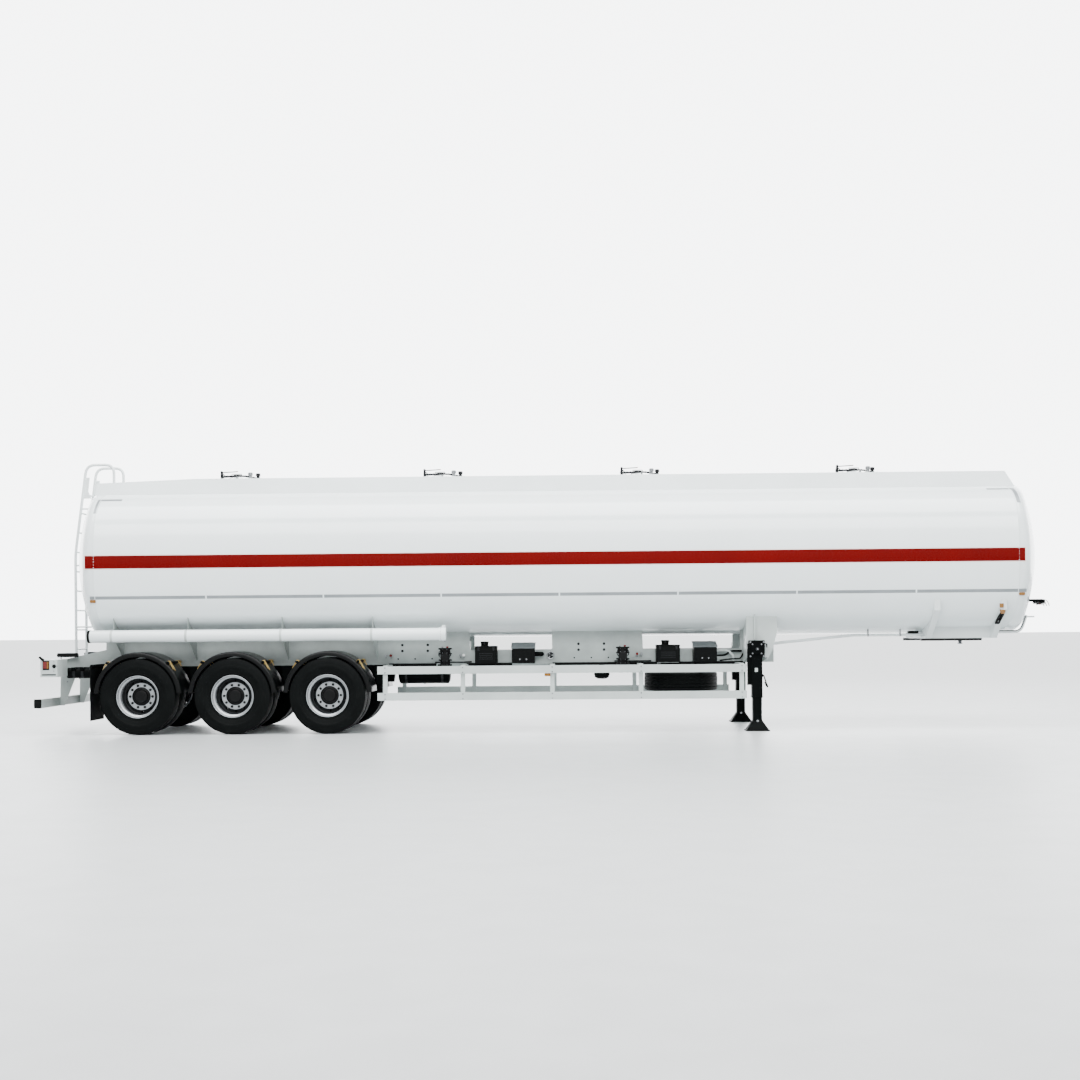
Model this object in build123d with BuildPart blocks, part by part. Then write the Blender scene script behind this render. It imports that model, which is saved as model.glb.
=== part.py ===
from build123d import *
from math import cos, hypot, radians, sin, sqrt, tan
import os

os.makedirs("parts", exist_ok=True)

# Sizes in mm. +X is the front, +Y the left side, z = 0 the ground.
seat_gap = 0.3
running_gap = 1.5
plate = 10

# Tank: a rounded box section of crown, flank and shoulder arcs, with dished ends.
tank_width = 2494
tank_height = 2130
tank_bottom_z = 1320
tank_rear_x = -6700
tank_front_x = 6880
crown_r = 2200
flank_r = 2300
shoulder_r = 620
dish_r = 2500
knuckle_r = 150

tank_axis_z = tank_bottom_z + tank_height / 2
tank_top_z = tank_bottom_z + tank_height
dish_rim_r = hypot(tank_width, tank_height) / 2
crown_drop = crown_r - tank_height / 2
flank_inset = flank_r - tank_width / 2
spread = hypot(flank_inset, crown_drop)
reach = ((crown_r - shoulder_r) ** 2 - (flank_r - shoulder_r) ** 2 + spread**2) / (2 * spread)
rise = sqrt((crown_r - shoulder_r) ** 2 - reach**2)
shoulder_y = (rise * crown_drop - reach * flank_inset) / spread
shoulder_z = (reach * crown_drop + rise * flank_inset) / spread - crown_drop
dish_depth = dish_r - sqrt(dish_r**2 - dish_rim_r**2)


def crown_z(y):
    """Height above the ground of a seat on the crown, y from the middle."""
    return tank_axis_z - crown_drop + sqrt((crown_r + seat_gap) ** 2 - y**2)


def belly_z(y):
    """Height above the ground of a seat under the belly, y from the middle."""
    return 2 * tank_axis_z - crown_z(y)


def flank_y(z):
    """Distance from the middle to the tank's side at a height above the ground."""
    height = abs(z - tank_axis_z)
    if height < shoulder_z * flank_r / (flank_r - shoulder_r):
        return sqrt(flank_r**2 - height**2) - flank_inset
    return shoulder_y + sqrt(shoulder_r**2 - (height - shoulder_z) ** 2)


def across(x, z=0):
    """Section plane at x, drawn as (y, z) from a height z."""
    return Plane(origin=(x, 0, z), x_dir=(0, 1, 0), z_dir=(1, 0, 0))


def beside(y):
    """Side plane at y from the middle on the right, drawn as (x, z) and extruded outward."""
    return Plane(origin=(0, -y, 0), x_dir=(1, 0, 0), z_dir=(0, -1, 0))


def tank_section(grow):
    """Closed outline of the tank about its axis, grown outward all round."""
    crown = crown_r + grow
    shoulder = shoulder_r + grow
    flank = flank_r + grow
    fold_y = shoulder_y * crown / (crown_r - shoulder_r)
    fold_z = (shoulder_z + crown_drop) * crown / (crown_r - shoulder_r) - crown_drop
    waist_y = (shoulder_y + flank_inset) * flank / (flank_r - shoulder_r) - flank_inset
    waist_z = shoulder_z * flank / (flank_r - shoulder_r)
    with BuildLine() as line:
        RadiusArc((0, tank_height / 2 + grow), (fold_y, fold_z), crown)
        RadiusArc((fold_y, fold_z), (waist_y, waist_z), shoulder)
        RadiusArc((waist_y, waist_z), (tank_width / 2 + grow, 0), flank)
        mirror(about=Plane.XZ)
        mirror(about=Plane.YZ)
    return line.edges()


with BuildPart() as tank_seat:
    with BuildSketch(across(tank_rear_x, tank_axis_z)):
        make_face(tank_section(seat_gap))
    extrude(amount=tank_front_x - tank_rear_x)

with BuildPart() as tank:
    with BuildSketch(across(tank_rear_x, tank_axis_z)):
        make_face(tank_section(0))
    extrude(amount=tank_front_x - tank_rear_x)
    with BuildSketch(Plane.XZ):
        with BuildLine():
            rear_edge = (tank_rear_x + dish_depth, tank_axis_z + dish_rim_r)
            front_edge = (tank_front_x - dish_depth, tank_axis_z + dish_rim_r)
            RadiusArc((tank_rear_x, tank_axis_z), rear_edge, dish_r)
            Line(rear_edge, front_edge)
            RadiusArc(front_edge, (tank_front_x, tank_axis_z), dish_r)
            Line((tank_front_x, tank_axis_z), (tank_rear_x, tank_axis_z))
        make_face()
    revolve(axis=Axis((0, 0, tank_axis_z), (1, 0, 0)), mode=Mode.INTERSECT)
    dished = tank.faces().filter_by(GeomType.SPHERE)
    fillet(dished.edges(), knuckle_r)
tank.part.label = "tank"
export_step(tank.part, "parts/tank.step")

# Coamings: folded rails along both sides of the tank's top.
coaming_outer_y = 620
coaming_inner_y = 440
coaming_lean = 120
coaming_h = 140
coaming_rear_x = -6395
coaming_front_x = 6530
coaming_fall = 55
coaming_fall_l = 1400
coaming_slope = 105
coaming_top_z = tank_top_z + coaming_h

with BuildPart() as coamings:
    with BuildSketch(across(coaming_rear_x)):
        with BuildLine():
            outer_foot = (-coaming_outer_y, crown_z(coaming_outer_y))
            inner_foot = (-coaming_inner_y, crown_z(coaming_inner_y))
            Polyline(
                inner_foot,
                (-coaming_inner_y, coaming_top_z),
                (coaming_lean - coaming_outer_y, coaming_top_z),
                outer_foot,
            )
            RadiusArc(outer_foot, inner_foot, crown_r + seat_gap)
        make_face()
    extrude(amount=coaming_front_x - coaming_rear_x)
    for corner, level, lowered in (
        (coaming_rear_x, coaming_rear_x + coaming_fall_l, coaming_top_z - coaming_fall),
        (coaming_front_x, coaming_front_x - coaming_slope, crown_z(coaming_outer_y)),
    ):
        with BuildSketch(Plane.XZ):
            with BuildLine():
                Polyline((corner, lowered), (corner, coaming_top_z), (level, coaming_top_z), close=True)
            make_face()
        extrude(amount=tank_width, both=True, mode=Mode.SUBTRACT)
    mirror(about=Plane.XZ)
coamings.part.label = "coamings"
export_step(coamings.part, "parts/coamings.step")

# Manholes: a flanged neck with a hinged, domed lid that opens to the rear.
manhole_xs = (-4450, -1500, 1350, 4450)
neck_r = 250
neck_wall = 10
neck_h = 140
neck_flange_r = 285
neck_flange_t = 16
lid_r = 280
lid_rim_t = 22
lid_rim_w = 25
lid_dome_h = 48
lid_dome_r = 700
lid_hatch_r = 72
lid_hatch_h = 20
lid_hatch_back = 50
vent_r = 22
vent_h = 60
vents = (  # ahead_x, y
    (148, -50),
    (223, 50),
)
clamp_count = 6
clamp_w = 26
clamp_l = 40
clamp_h = 26
strap_w = 46
strap_t = 12
strap_rise = 24
strap_rear_drop = 9
strap_front_drop = 44
strap_front_x = 245
lever_l = 220
lever_t = 16
lever_lean = 3
lever_rise = 120
lever_post_w = 30
hook_l = 28
hinge_back = 325
hinge_pin_r = 10
hinge_barrel_r = 20
hinge_ear_t = 12
hinge_barrel_w = 110
hinge_arm_t = 22
neck_top_z = tank_top_z + neck_h
hinge_z = neck_top_z + hinge_barrel_r + running_gap

# Walkway: tread sheets on the crown between the coamings, clear of the manholes.
walkway_t = 4
walkway_half_w = 400
walkway_rear_x = -6160
walkway_gap = 60

with BuildPart() as walkway:
    start_xs = [walkway_rear_x] + [x + neck_flange_r + walkway_gap for x in manhole_xs]
    end_xs = [x - hinge_back - hinge_barrel_r - walkway_gap for x in manhole_xs]
    end_xs.append(coaming_front_x - coaming_slope)
    for start_x, end_x in zip(start_xs, end_xs):
        with BuildSketch(across(start_x, tank_axis_z - crown_drop)):
            Circle(crown_r + seat_gap + walkway_t)
            Circle(crown_r + seat_gap, mode=Mode.SUBTRACT)
            with Locations((0, crown_r)):
                Rectangle(2 * walkway_half_w, crown_r, mode=Mode.INTERSECT)
        extrude(amount=end_x - start_x)
walkway.part.label = "walkway"
export_step(walkway.part, "parts/walkway.step")

for number, manhole_x in enumerate(manhole_xs, start=1):
    hinge_x = manhole_x - hinge_back
    ear_y = hinge_barrel_w / 2 + running_gap
    ear_foot_z = neck_top_z - neck_flange_t
    with BuildPart() as neck:
        with BuildSketch(Plane.XY.offset(crown_z(0) - neck_r)):
            with Locations((manhole_x, 0)):
                Circle(neck_r)
        extrude(amount=neck_top_z - crown_z(0) + neck_r)
        with BuildSketch(Plane.XY.offset(ear_foot_z)):
            with Locations((manhole_x, 0)):
                Circle(neck_flange_r)
            with Locations(((hinge_x + manhole_x - neck_r) / 2, 0)):
                Rectangle(manhole_x - neck_r - hinge_x, 2 * (ear_y + hinge_ear_t))
        extrude(amount=neck_flange_t)
        for side in (-1, 1):
            with BuildSketch(Plane.XZ.offset(-side * (ear_y + hinge_ear_t / 2))):
                with Locations((hinge_x, hinge_z)):
                    Circle(hinge_barrel_r)
                with Locations((hinge_x, (hinge_z + ear_foot_z) / 2)):
                    Rectangle(2 * hinge_barrel_r, hinge_z - ear_foot_z)
            extrude(amount=hinge_ear_t / 2, both=True)
        with BuildSketch(Plane.XZ):
            with Locations((hinge_x, hinge_z)):
                Circle(hinge_pin_r)
        extrude(amount=ear_y + hinge_ear_t / 2, both=True)
        with BuildSketch(Plane.XY):
            with Locations((manhole_x, 0)):
                Circle(neck_r - neck_wall)
        extrude(amount=neck_top_z + neck_h, mode=Mode.SUBTRACT)
        add(tank_seat.part, mode=Mode.SUBTRACT)
    neck.part.label = f"manhole_neck_{number}"
    export_step(neck.part, f"parts/manhole_neck_{number}.step")

    lid_z = neck_top_z + seat_gap
    rim_z = lid_z + lid_rim_t
    dome_z = rim_z + lid_dome_h
    with BuildPart() as lid:
        with BuildSketch(Plane.XZ):
            with BuildLine():
                rim_edge = (manhole_x + lid_r - lid_rim_w, rim_z)
                dome_top = (manhole_x, dome_z)
                Polyline(
                    dome_top,
                    (manhole_x, lid_z),
                    (manhole_x + lid_r, lid_z),
                    (manhole_x + lid_r, rim_z),
                    rim_edge,
                )
                RadiusArc(rim_edge, dome_top, -lid_dome_r)
            make_face()
        revolve(axis=Axis((manhole_x, 0, 0), (0, 0, 1)))
        with BuildSketch(Plane.XY.offset(rim_z)):
            with Locations((manhole_x - lid_hatch_back, 0)):
                Circle(lid_hatch_r)
        extrude(amount=lid_dome_h + lid_hatch_h)
        with BuildSketch(Plane.XY.offset(rim_z)):
            with Locations([(manhole_x + ahead_x, y) for ahead_x, y in vents]):
                Circle(vent_r)
        extrude(amount=lid_dome_h + vent_h)
        with BuildSketch(Plane.XY.offset(rim_z)):
            with Locations((manhole_x, 0)):
                with PolarLocations(lid_r - clamp_l / 2, clamp_count, start_angle=180 / clamp_count):
                    Rectangle(clamp_l, clamp_w)
        extrude(amount=clamp_h)
        with BuildSketch(Plane.XZ):
            with BuildLine():
                strap_z = dome_z + strap_rise
                rear = Vector(manhole_x - lid_r, strap_z - strap_rear_drop)
                front = Vector(manhole_x + strap_front_x, strap_z - strap_front_drop)
                deep = Vector(0, -strap_t)
                ThreePointArc(rear, (manhole_x, strap_z), front)
                Line(front, front + deep)
                ThreePointArc(front + deep, Vector(manhole_x, strap_z) + deep, rear + deep)
                Line(rear + deep, rear)
            make_face()
        extrude(amount=strap_w / 2, both=True)
        lever_z = rim_z + lever_rise
        with BuildSketch(Plane.XZ):
            with Locations((manhole_x - lid_r, (rim_z + lever_z) / 2)):
                Rectangle(lever_post_w, lever_z - rim_z)
            with Locations((manhole_x - lid_r + lever_l / 2, lever_z)):
                SlotOverall(lever_l + lever_post_w, lever_t, rotation=lever_lean)
            with Locations(((hinge_x + manhole_x - lid_r + lever_post_w) / 2, hinge_z)):
                Rectangle(manhole_x - lid_r + lever_post_w - hinge_x, hinge_arm_t)
            with Locations((hinge_x, hinge_z)):
                Circle(hinge_barrel_r)
                Circle(hinge_pin_r + seat_gap, mode=Mode.SUBTRACT)
            with Locations((manhole_x + lid_r, rim_z - lid_rim_t / 2)):
                Rectangle(2 * hook_l, lid_rim_t)
        extrude(amount=strap_w / 2, both=True)
        with BuildSketch(Plane.XZ):
            with Locations((hinge_x, hinge_z)):
                Circle(hinge_barrel_r)
                Circle(hinge_pin_r + seat_gap, mode=Mode.SUBTRACT)
        extrude(amount=hinge_barrel_w / 2, both=True)
    lid.part.label = f"manhole_lid_{number}"
    export_step(lid.part, f"parts/manhole_lid_{number}.step")

# Chassis: two side webs under the belly, open between their full-height panels.
web_y = 530
web_t = 10
rail_bottom_z = 930
rail_top_z = 1120
rail_flange_w = 100
rail_flange_t = 12
frame_rear_x = -6277
frame_front_x = 3170
window_corner_r = 40
web_windows = (  # start_x, end_x
    (-1107, 54),
    (1329, 2700),
)
cover_plates = (  # start_x, end_x
    (-2187, -1577),
    (295, 919),
)
cover_low_z = 975
cover_h = 262
cover_t = 6
tail_rear_x = -6886
tail_top_rear_z = 1036
tail_top_front_z = 1170
crossmember_xs = (-6240, -4985, -3675, -2365, -1160, 60, 1330, 3110)
crossmember_t = 8
crossmember_top_z = 1250
crossmember_hole_h = 140
leg_x = 2870
shaft_r = 20
shaft_z = 1120

with BuildPart() as chassis:
    web_outer_y = web_y + web_t / 2
    web_inner_y = web_y - web_t / 2
    with BuildSketch(beside(web_inner_y)):
        with BuildLine():
            Polyline(
                (tail_rear_x, rail_bottom_z),
                (frame_front_x, rail_bottom_z),
                (frame_front_x, belly_z(web_outer_y) + plate),
                (frame_rear_x, belly_z(web_outer_y) + plate),
                (frame_rear_x, tail_top_front_z),
                (tail_rear_x, tail_top_rear_z),
                close=True,
            )
        make_face()
        window_h = belly_z(web_outer_y) + 4 * plate - rail_top_z
        for start_x, end_x in web_windows:
            with Locations(((start_x + end_x) / 2, rail_top_z + window_h / 2)):
                RectangleRounded(end_x - start_x, window_h, window_corner_r, mode=Mode.SUBTRACT)
    extrude(amount=web_t)
    with BuildSketch(beside(web_outer_y)):
        for start_x, end_x in cover_plates:
            with Locations(((start_x + end_x) / 2, cover_low_z + cover_h / 2)):
                RectangleRounded(end_x - start_x, cover_h, 2 * cover_t)
    extrude(amount=cover_t)
    flange_y = web_outer_y - rail_flange_w / 2
    with BuildSketch(Plane.XY.offset(rail_bottom_z)):
        with Locations(((tail_rear_x + frame_front_x) / 2, -flange_y)):
            Rectangle(frame_front_x - tail_rear_x, rail_flange_w)
    extrude(amount=rail_flange_t)
    with BuildSketch(Plane.XY.offset(rail_top_z - rail_flange_t)):
        for start_x, end_x in web_windows:
            with Locations(((start_x + end_x) / 2, -flange_y)):
                Rectangle(end_x - start_x + 2 * web_t, rail_flange_w)
    extrude(amount=rail_flange_t)
    mirror(about=Plane.XZ)
    for member_x in crossmember_xs:
        with BuildSketch(across(member_x - crossmember_t / 2)):
            with Locations((0, (rail_bottom_z + rail_flange_t + crossmember_top_z) / 2)):
                Rectangle(2 * web_inner_y, crossmember_top_z - rail_bottom_z - rail_flange_t)
            with Locations((0, (rail_bottom_z + rail_flange_t + crossmember_top_z) / 2)):
                SlotOverall(web_y, crossmember_hole_h, mode=Mode.SUBTRACT)
        extrude(amount=crossmember_t)
    with BuildSketch(Plane.XZ):
        with Locations((leg_x, shaft_z)):
            Circle(shaft_r + seat_gap)
    extrude(amount=tank_width, both=True, mode=Mode.SUBTRACT)
    add(tank_seat.part, mode=Mode.SUBTRACT)
chassis.part.label = "chassis"
export_step(chassis.part, "parts/chassis.step")

# Hose tube: an open tube along the right side with a hinged front cap.
tube_y = 1095
tube_z = 1360
tube_r = 86
tube_wall = 4
tube_rear_x = -6355
tube_front_x = -1425
tube_collar_r = 94
tube_collar_l = 60
cap_t = 26
cap_pin_r = 5
cap_knuckle_r = 12
cap_knuckle_w = 60
cap_ear_t = 8
cap_ear_pitch = cap_knuckle_w + cap_ear_t + 2 * running_gap
cap_hinge_x = tube_front_x + seat_gap + cap_t / 2
cap_hinge_z = tube_z + tube_collar_r + cap_knuckle_r + running_gap

with BuildPart() as hose_tube:
    with BuildSketch(across(tube_rear_x)):
        with Locations((-tube_y, tube_z)):
            Circle(tube_r)
    extrude(amount=tube_front_x - tube_rear_x)
    with BuildSketch(across(tube_front_x - tube_collar_l)):
        with Locations((-tube_y, tube_z)):
            Circle(tube_collar_r)
    extrude(amount=tube_collar_l)
    with BuildSketch(across(tube_rear_x + tube_wall)):
        with Locations((-tube_y, tube_z)):
            Circle(tube_r - tube_wall)
    extrude(amount=tube_front_x - tube_rear_x, mode=Mode.SUBTRACT)
    for hinge_y in (-tube_y - cap_ear_pitch / 2, -tube_y + cap_ear_pitch / 2):
        with BuildSketch(beside(-hinge_y - cap_ear_t / 2)):
            with Locations((cap_hinge_x, cap_hinge_z)):
                Circle(cap_knuckle_r)
            with Locations(((cap_hinge_x + tube_front_x) / 2, cap_hinge_z)):
                Rectangle(cap_hinge_x - tube_front_x, 2 * cap_knuckle_r)
            ear_top_z = cap_hinge_z + cap_knuckle_r
            with Locations((tube_front_x - cap_knuckle_r, (ear_top_z + tube_z + tube_r) / 2)):
                Rectangle(2 * cap_knuckle_r, ear_top_z - tube_z - tube_r)
        extrude(amount=cap_ear_t)
    with BuildSketch(beside(tube_y - cap_ear_pitch / 2)):
        with Locations((cap_hinge_x, cap_hinge_z)):
            Circle(cap_pin_r)
    extrude(amount=cap_ear_pitch)
hose_tube.part.label = "hose_tube"
export_step(hose_tube.part, "parts/hose_tube.step")

with BuildPart() as tube_cap:
    with BuildSketch(across(tube_front_x + seat_gap)):
        with Locations((-tube_y, tube_z)):
            Circle(tube_collar_r)
    extrude(amount=cap_t)
    with BuildSketch(beside(tube_y - cap_knuckle_w / 2)):
        with Locations((cap_hinge_x, cap_hinge_z)):
            Circle(cap_knuckle_r)
        with Locations((cap_hinge_x, (cap_hinge_z + tube_z + tube_r) / 2)):
            Rectangle(cap_t - 2 * running_gap, cap_hinge_z - tube_z - tube_r)
        with Locations((cap_hinge_x, cap_hinge_z)):
            Circle(cap_pin_r + seat_gap, mode=Mode.SUBTRACT)
    extrude(amount=cap_knuckle_w)
tube_cap.part.label = "tube_cap"
export_step(tube_cap.part, "parts/tube_cap.step")

# Gussets: sloped plates from the webs out to the tank's underside.
gusset_xs = (-6020, -4985, -3675, -2420)
gusset_t = 8
gusset_root_z = 1010
gusset_tip_y = 1030
gusset_tip_z = 1340

with BuildPart() as gussets:
    for gusset_x in gusset_xs:
        with BuildSketch(across(gusset_x - gusset_t / 2)):
            with BuildLine():
                Polyline(
                    (-web_outer_y - seat_gap, gusset_root_z),
                    (-gusset_tip_y, gusset_tip_z),
                    (-gusset_tip_y, tank_axis_z),
                    (-web_outer_y - seat_gap, tank_axis_z),
                    close=True,
                )
            make_face()
        extrude(amount=gusset_t)
    add(tank_seat.part, mode=Mode.SUBTRACT)
    with BuildSketch(across(tube_rear_x)):
        with Locations((-tube_y, tube_z)):
            Circle(tube_r + seat_gap)
    extrude(amount=tube_front_x - tube_rear_x, mode=Mode.SUBTRACT)
    mirror(about=Plane.XZ)
gussets.part.label = "gussets"
export_step(gussets.part, "parts/gussets.step")

# Axles: tubes with spindles that carry the twin wheels.
axle_xs = (-5640, -4330, -3020)
wheel_z = 525
axle_tube_r = 73
axle_tube_end_y = 600
spindle_r = 45
spindle_end_y = 1060
brake_chamber_r = 80
brake_chamber_l = 150
brake_chamber_y = 330
brake_chamber_back = 190
camshaft_r = 18
camshaft_back = 120
camshaft_end_y = 625

with BuildPart() as axles:
    for axle_x in axle_xs:
        with BuildSketch(Plane.XZ):
            with Locations((axle_x, wheel_z)):
                Circle(axle_tube_r)
        extrude(amount=axle_tube_end_y, both=True)
        with BuildSketch(Plane.XZ):
            with Locations((axle_x, wheel_z)):
                Circle(spindle_r)
        extrude(amount=spindle_end_y, both=True)
        for side in (-1, 1):
            with BuildSketch(across(axle_x - brake_chamber_back - brake_chamber_l)):
                with Locations((side * brake_chamber_y, wheel_z + brake_chamber_r)):
                    Circle(brake_chamber_r)
            extrude(amount=brake_chamber_l)
            with BuildSketch(across(axle_x - brake_chamber_back)):
                with Locations((side * brake_chamber_y, wheel_z + brake_chamber_r / 2)):
                    Rectangle(brake_chamber_r, brake_chamber_r / 2)
            extrude(amount=brake_chamber_back)
            with BuildSketch(beside(-side * brake_chamber_y)):
                with Locations((axle_x - camshaft_back, wheel_z + brake_chamber_r / 2)):
                    Circle(camshaft_r)
            extrude(amount=-side * (camshaft_end_y - brake_chamber_y))
axles.part.label = "axles"
export_step(axles.part, "parts/axles.step")

# Suspension: leaf springs between hangers under the rails, clamped to the axles by U-bolts.
spring_w = 76
spring_half_l = 610
spring_camber = 60
spring_leaf_t = 16
spring_pack_t = 60
spring_seat_t = 30
hanger_top_w = 200
hanger_bottom_w = 120
hanger_bottom_z = 655
hanger_wall = 10
pad_l = 150
clamp_plate_t = 14
u_bolt_r = 10
u_bolt_tail = 30

with BuildPart() as suspension:
    pad_z = wheel_z + axle_tube_r + seat_gap
    for axle_x in axle_xs:
        with BuildSketch(beside(web_y - spring_w / 2)):
            spring_z = pad_z + spring_seat_t
            with Locations((axle_x, pad_z + spring_seat_t / 2)):
                Rectangle(pad_l, spring_seat_t)
            with BuildLine():
                low_mid = (axle_x, spring_z)
                low_ends = [(axle_x + end * spring_half_l, spring_z + spring_camber) for end in (-1, 1)]
                top_ends = [(x, z + spring_leaf_t) for x, z in low_ends]
                ThreePointArc(low_ends[0], low_mid, low_ends[1])
                Line(low_ends[1], top_ends[1])
                ThreePointArc(top_ends[1], (axle_x, spring_z + spring_pack_t), top_ends[0])
                Line(top_ends[0], low_ends[0])
            make_face()
        extrude(amount=spring_w)
        bolt_x = axle_tube_r + u_bolt_r + 4 * seat_gap
        bolt_y = spring_w / 2 + u_bolt_r + running_gap
        low_plate_z = wheel_z - axle_tube_r - seat_gap - clamp_plate_t
        top_plate_z = spring_z + spring_pack_t - running_gap
        for plate_z in (low_plate_z, top_plate_z):
            with BuildSketch(Plane.XY.offset(plate_z)):
                with Locations((axle_x, -web_y)):
                    RectangleRounded(2 * (bolt_x + 2 * u_bolt_r), 2 * (bolt_y + 2 * u_bolt_r), u_bolt_r)
            extrude(amount=clamp_plate_t)
        with BuildSketch(Plane.XY.offset(low_plate_z - u_bolt_tail)):
            with Locations((axle_x, -web_y)):
                with GridLocations(2 * bolt_x, 2 * bolt_y, 2, 2):
                    Circle(u_bolt_r)
        extrude(amount=top_plate_z + clamp_plate_t + u_bolt_tail - low_plate_z)
    pitch = axle_xs[1] - axle_xs[0]
    hanger_xs = [axle_xs[0] - pitch / 2] + [axle_x + pitch / 2 for axle_x in axle_xs]
    for hanger_x in hanger_xs:
        with BuildSketch(beside(web_y - spring_w / 2 - hanger_wall)):
            with BuildLine():
                Polyline(
                    (hanger_x - hanger_top_w / 2, rail_bottom_z - seat_gap),
                    (hanger_x + hanger_top_w / 2, rail_bottom_z - seat_gap),
                    (hanger_x + hanger_bottom_w / 2, hanger_bottom_z),
                    (hanger_x - hanger_bottom_w / 2, hanger_bottom_z),
                    close=True,
                )
            make_face()
        extrude(amount=spring_w + 2 * hanger_wall)
    mirror(about=Plane.XZ)
suspension.part.label = "suspension"
export_step(suspension.part, "parts/suspension.step")

# Wheels: twin tyres on back-to-back dished discs around one hub and brake drum.
tyre_r = wheel_z
tyre_w = 280
tyre_tread_w = 236
tyre_shoulder_drop = 22
tyre_waist_r = 410
tyre_waist_t = 6
bead_r = 286
twin_y = 940
twin_pitch = 340
rim_flange_r = 299
rim_wall = 12
rim_w = 230
bead_w = rim_w - 2 * rim_wall - 2 * seat_gap
disc_t = 14
disc_r = 200
hub_r = 126
hub_inner_y = 640
hub_outer_y = 1058
drum_r = 205
drum_outer_y = 810
hub_cap_r = 100
hub_cap_outer_y = 1114
hand_hole_r = 24
hand_hole_circle_r = 226
hand_hole_count = 10
hand_hole_reach = 125

tyre_half_profile = (  # distance from the tyre's middle plane, radius
    (tyre_tread_w / 2, tyre_r),
    (tyre_w / 2, tyre_r - 3 * tyre_shoulder_drop),
    (tyre_w / 2 - tyre_waist_t, tyre_waist_r),
    (bead_w / 2, rim_flange_r + 2 * seat_gap),
    (bead_w / 2, bead_r + seat_gap),
)
tyre_profile = tyre_half_profile + tuple((-offset, radius) for offset, radius in reversed(tyre_half_profile))


def wheel_plane(axle_x):
    """Plane through an axle, drawn as (distance outward, radius)."""
    return Plane(origin=(axle_x, 0, wheel_z), x_dir=(0, -1, 0), z_dir=(-1, 0, 0))


for axle_number, axle_x in enumerate(axle_xs, start=1):
    wheel_axis = Axis((axle_x, 0, wheel_z), (0, 1, 0))
    with BuildPart() as right_tyres:
        with BuildSketch(wheel_plane(axle_x)):
            for tyre_y in (twin_y - twin_pitch / 2, twin_y + twin_pitch / 2):
                with BuildLine():
                    Polyline([(tyre_y + offset, radius) for offset, radius in tyre_profile], close=True)
                make_face()
        revolve(axis=wheel_axis)
    with BuildPart() as right_wheel:
        with BuildSketch(wheel_plane(axle_x)):
            for side in (-1, 1):
                rim_y = twin_y + side * twin_pitch / 2
                edge_y = rim_y + side * rim_w / 2
                back_y = rim_y - side * rim_w / 2
                with BuildLine():
                    Polyline(
                        (edge_y, rim_flange_r),
                        (edge_y - side * rim_wall, rim_flange_r),
                        (edge_y - side * rim_wall, bead_r),
                        (back_y + side * rim_wall, bead_r),
                        (back_y + side * rim_wall, rim_flange_r),
                        (back_y, rim_flange_r),
                        (back_y, bead_r - rim_wall),
                        (edge_y, bead_r - rim_wall),
                        close=True,
                    )
                make_face()
                with BuildLine():
                    Polyline(
                        (twin_y, hub_r - 1),
                        (twin_y, disc_r),
                        (rim_y, bead_r - rim_wall / 2),
                        (rim_y + side * disc_t, bead_r - rim_wall / 2),
                        (twin_y + side * disc_t, disc_r - 1),
                        (twin_y + side * disc_t, hub_r - 1),
                        close=True,
                    )
                make_face()
            for start_y, end_y, radius in (
                (hub_inner_y, hub_outer_y, hub_r),
                (hub_outer_y, hub_cap_outer_y, hub_cap_r),
                (hub_inner_y, drum_outer_y, drum_r),
            ):
                with Locations(((start_y + end_y) / 2, radius / 2)):
                    Rectangle(end_y - start_y, radius)
            bore_end_y = spindle_end_y + running_gap
            with Locations(((hub_inner_y + bore_end_y) / 2, 0)):
                Rectangle(bore_end_y - hub_inner_y, 2 * (spindle_r + 2 * seat_gap), mode=Mode.SUBTRACT)
        revolve(axis=wheel_axis)
        with BuildSketch(beside(twin_y)):
            with Locations((axle_x, wheel_z)):
                with PolarLocations(hand_hole_circle_r, hand_hole_count):
                    Circle(hand_hole_r)
        extrude(amount=hand_hole_reach, both=True, mode=Mode.SUBTRACT)
    for name, right in (("tyres", right_tyres.part), ("wheel", right_wheel.part)):
        for side_name, half in (("right", right), ("left", mirror(right, about=Plane.XZ))):
            half.label = f"{name}_{axle_number}_{side_name}"
            export_step(half, f"parts/{half.label}.step")

# Mudguards: half-round shells over each pair of twins, with a flap at the rear.
guard_r = 610
guard_t = 4
guard_lip = 62
guard_end_rise = 50
guard_inner_y = 640
guard_outer_y = 1240
guard_stay_r = 17
guard_stay_angle = 48
flap_x = -6290
flap_t = 8
flap_bottom_z = 200
flap_top_z = 960

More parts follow.
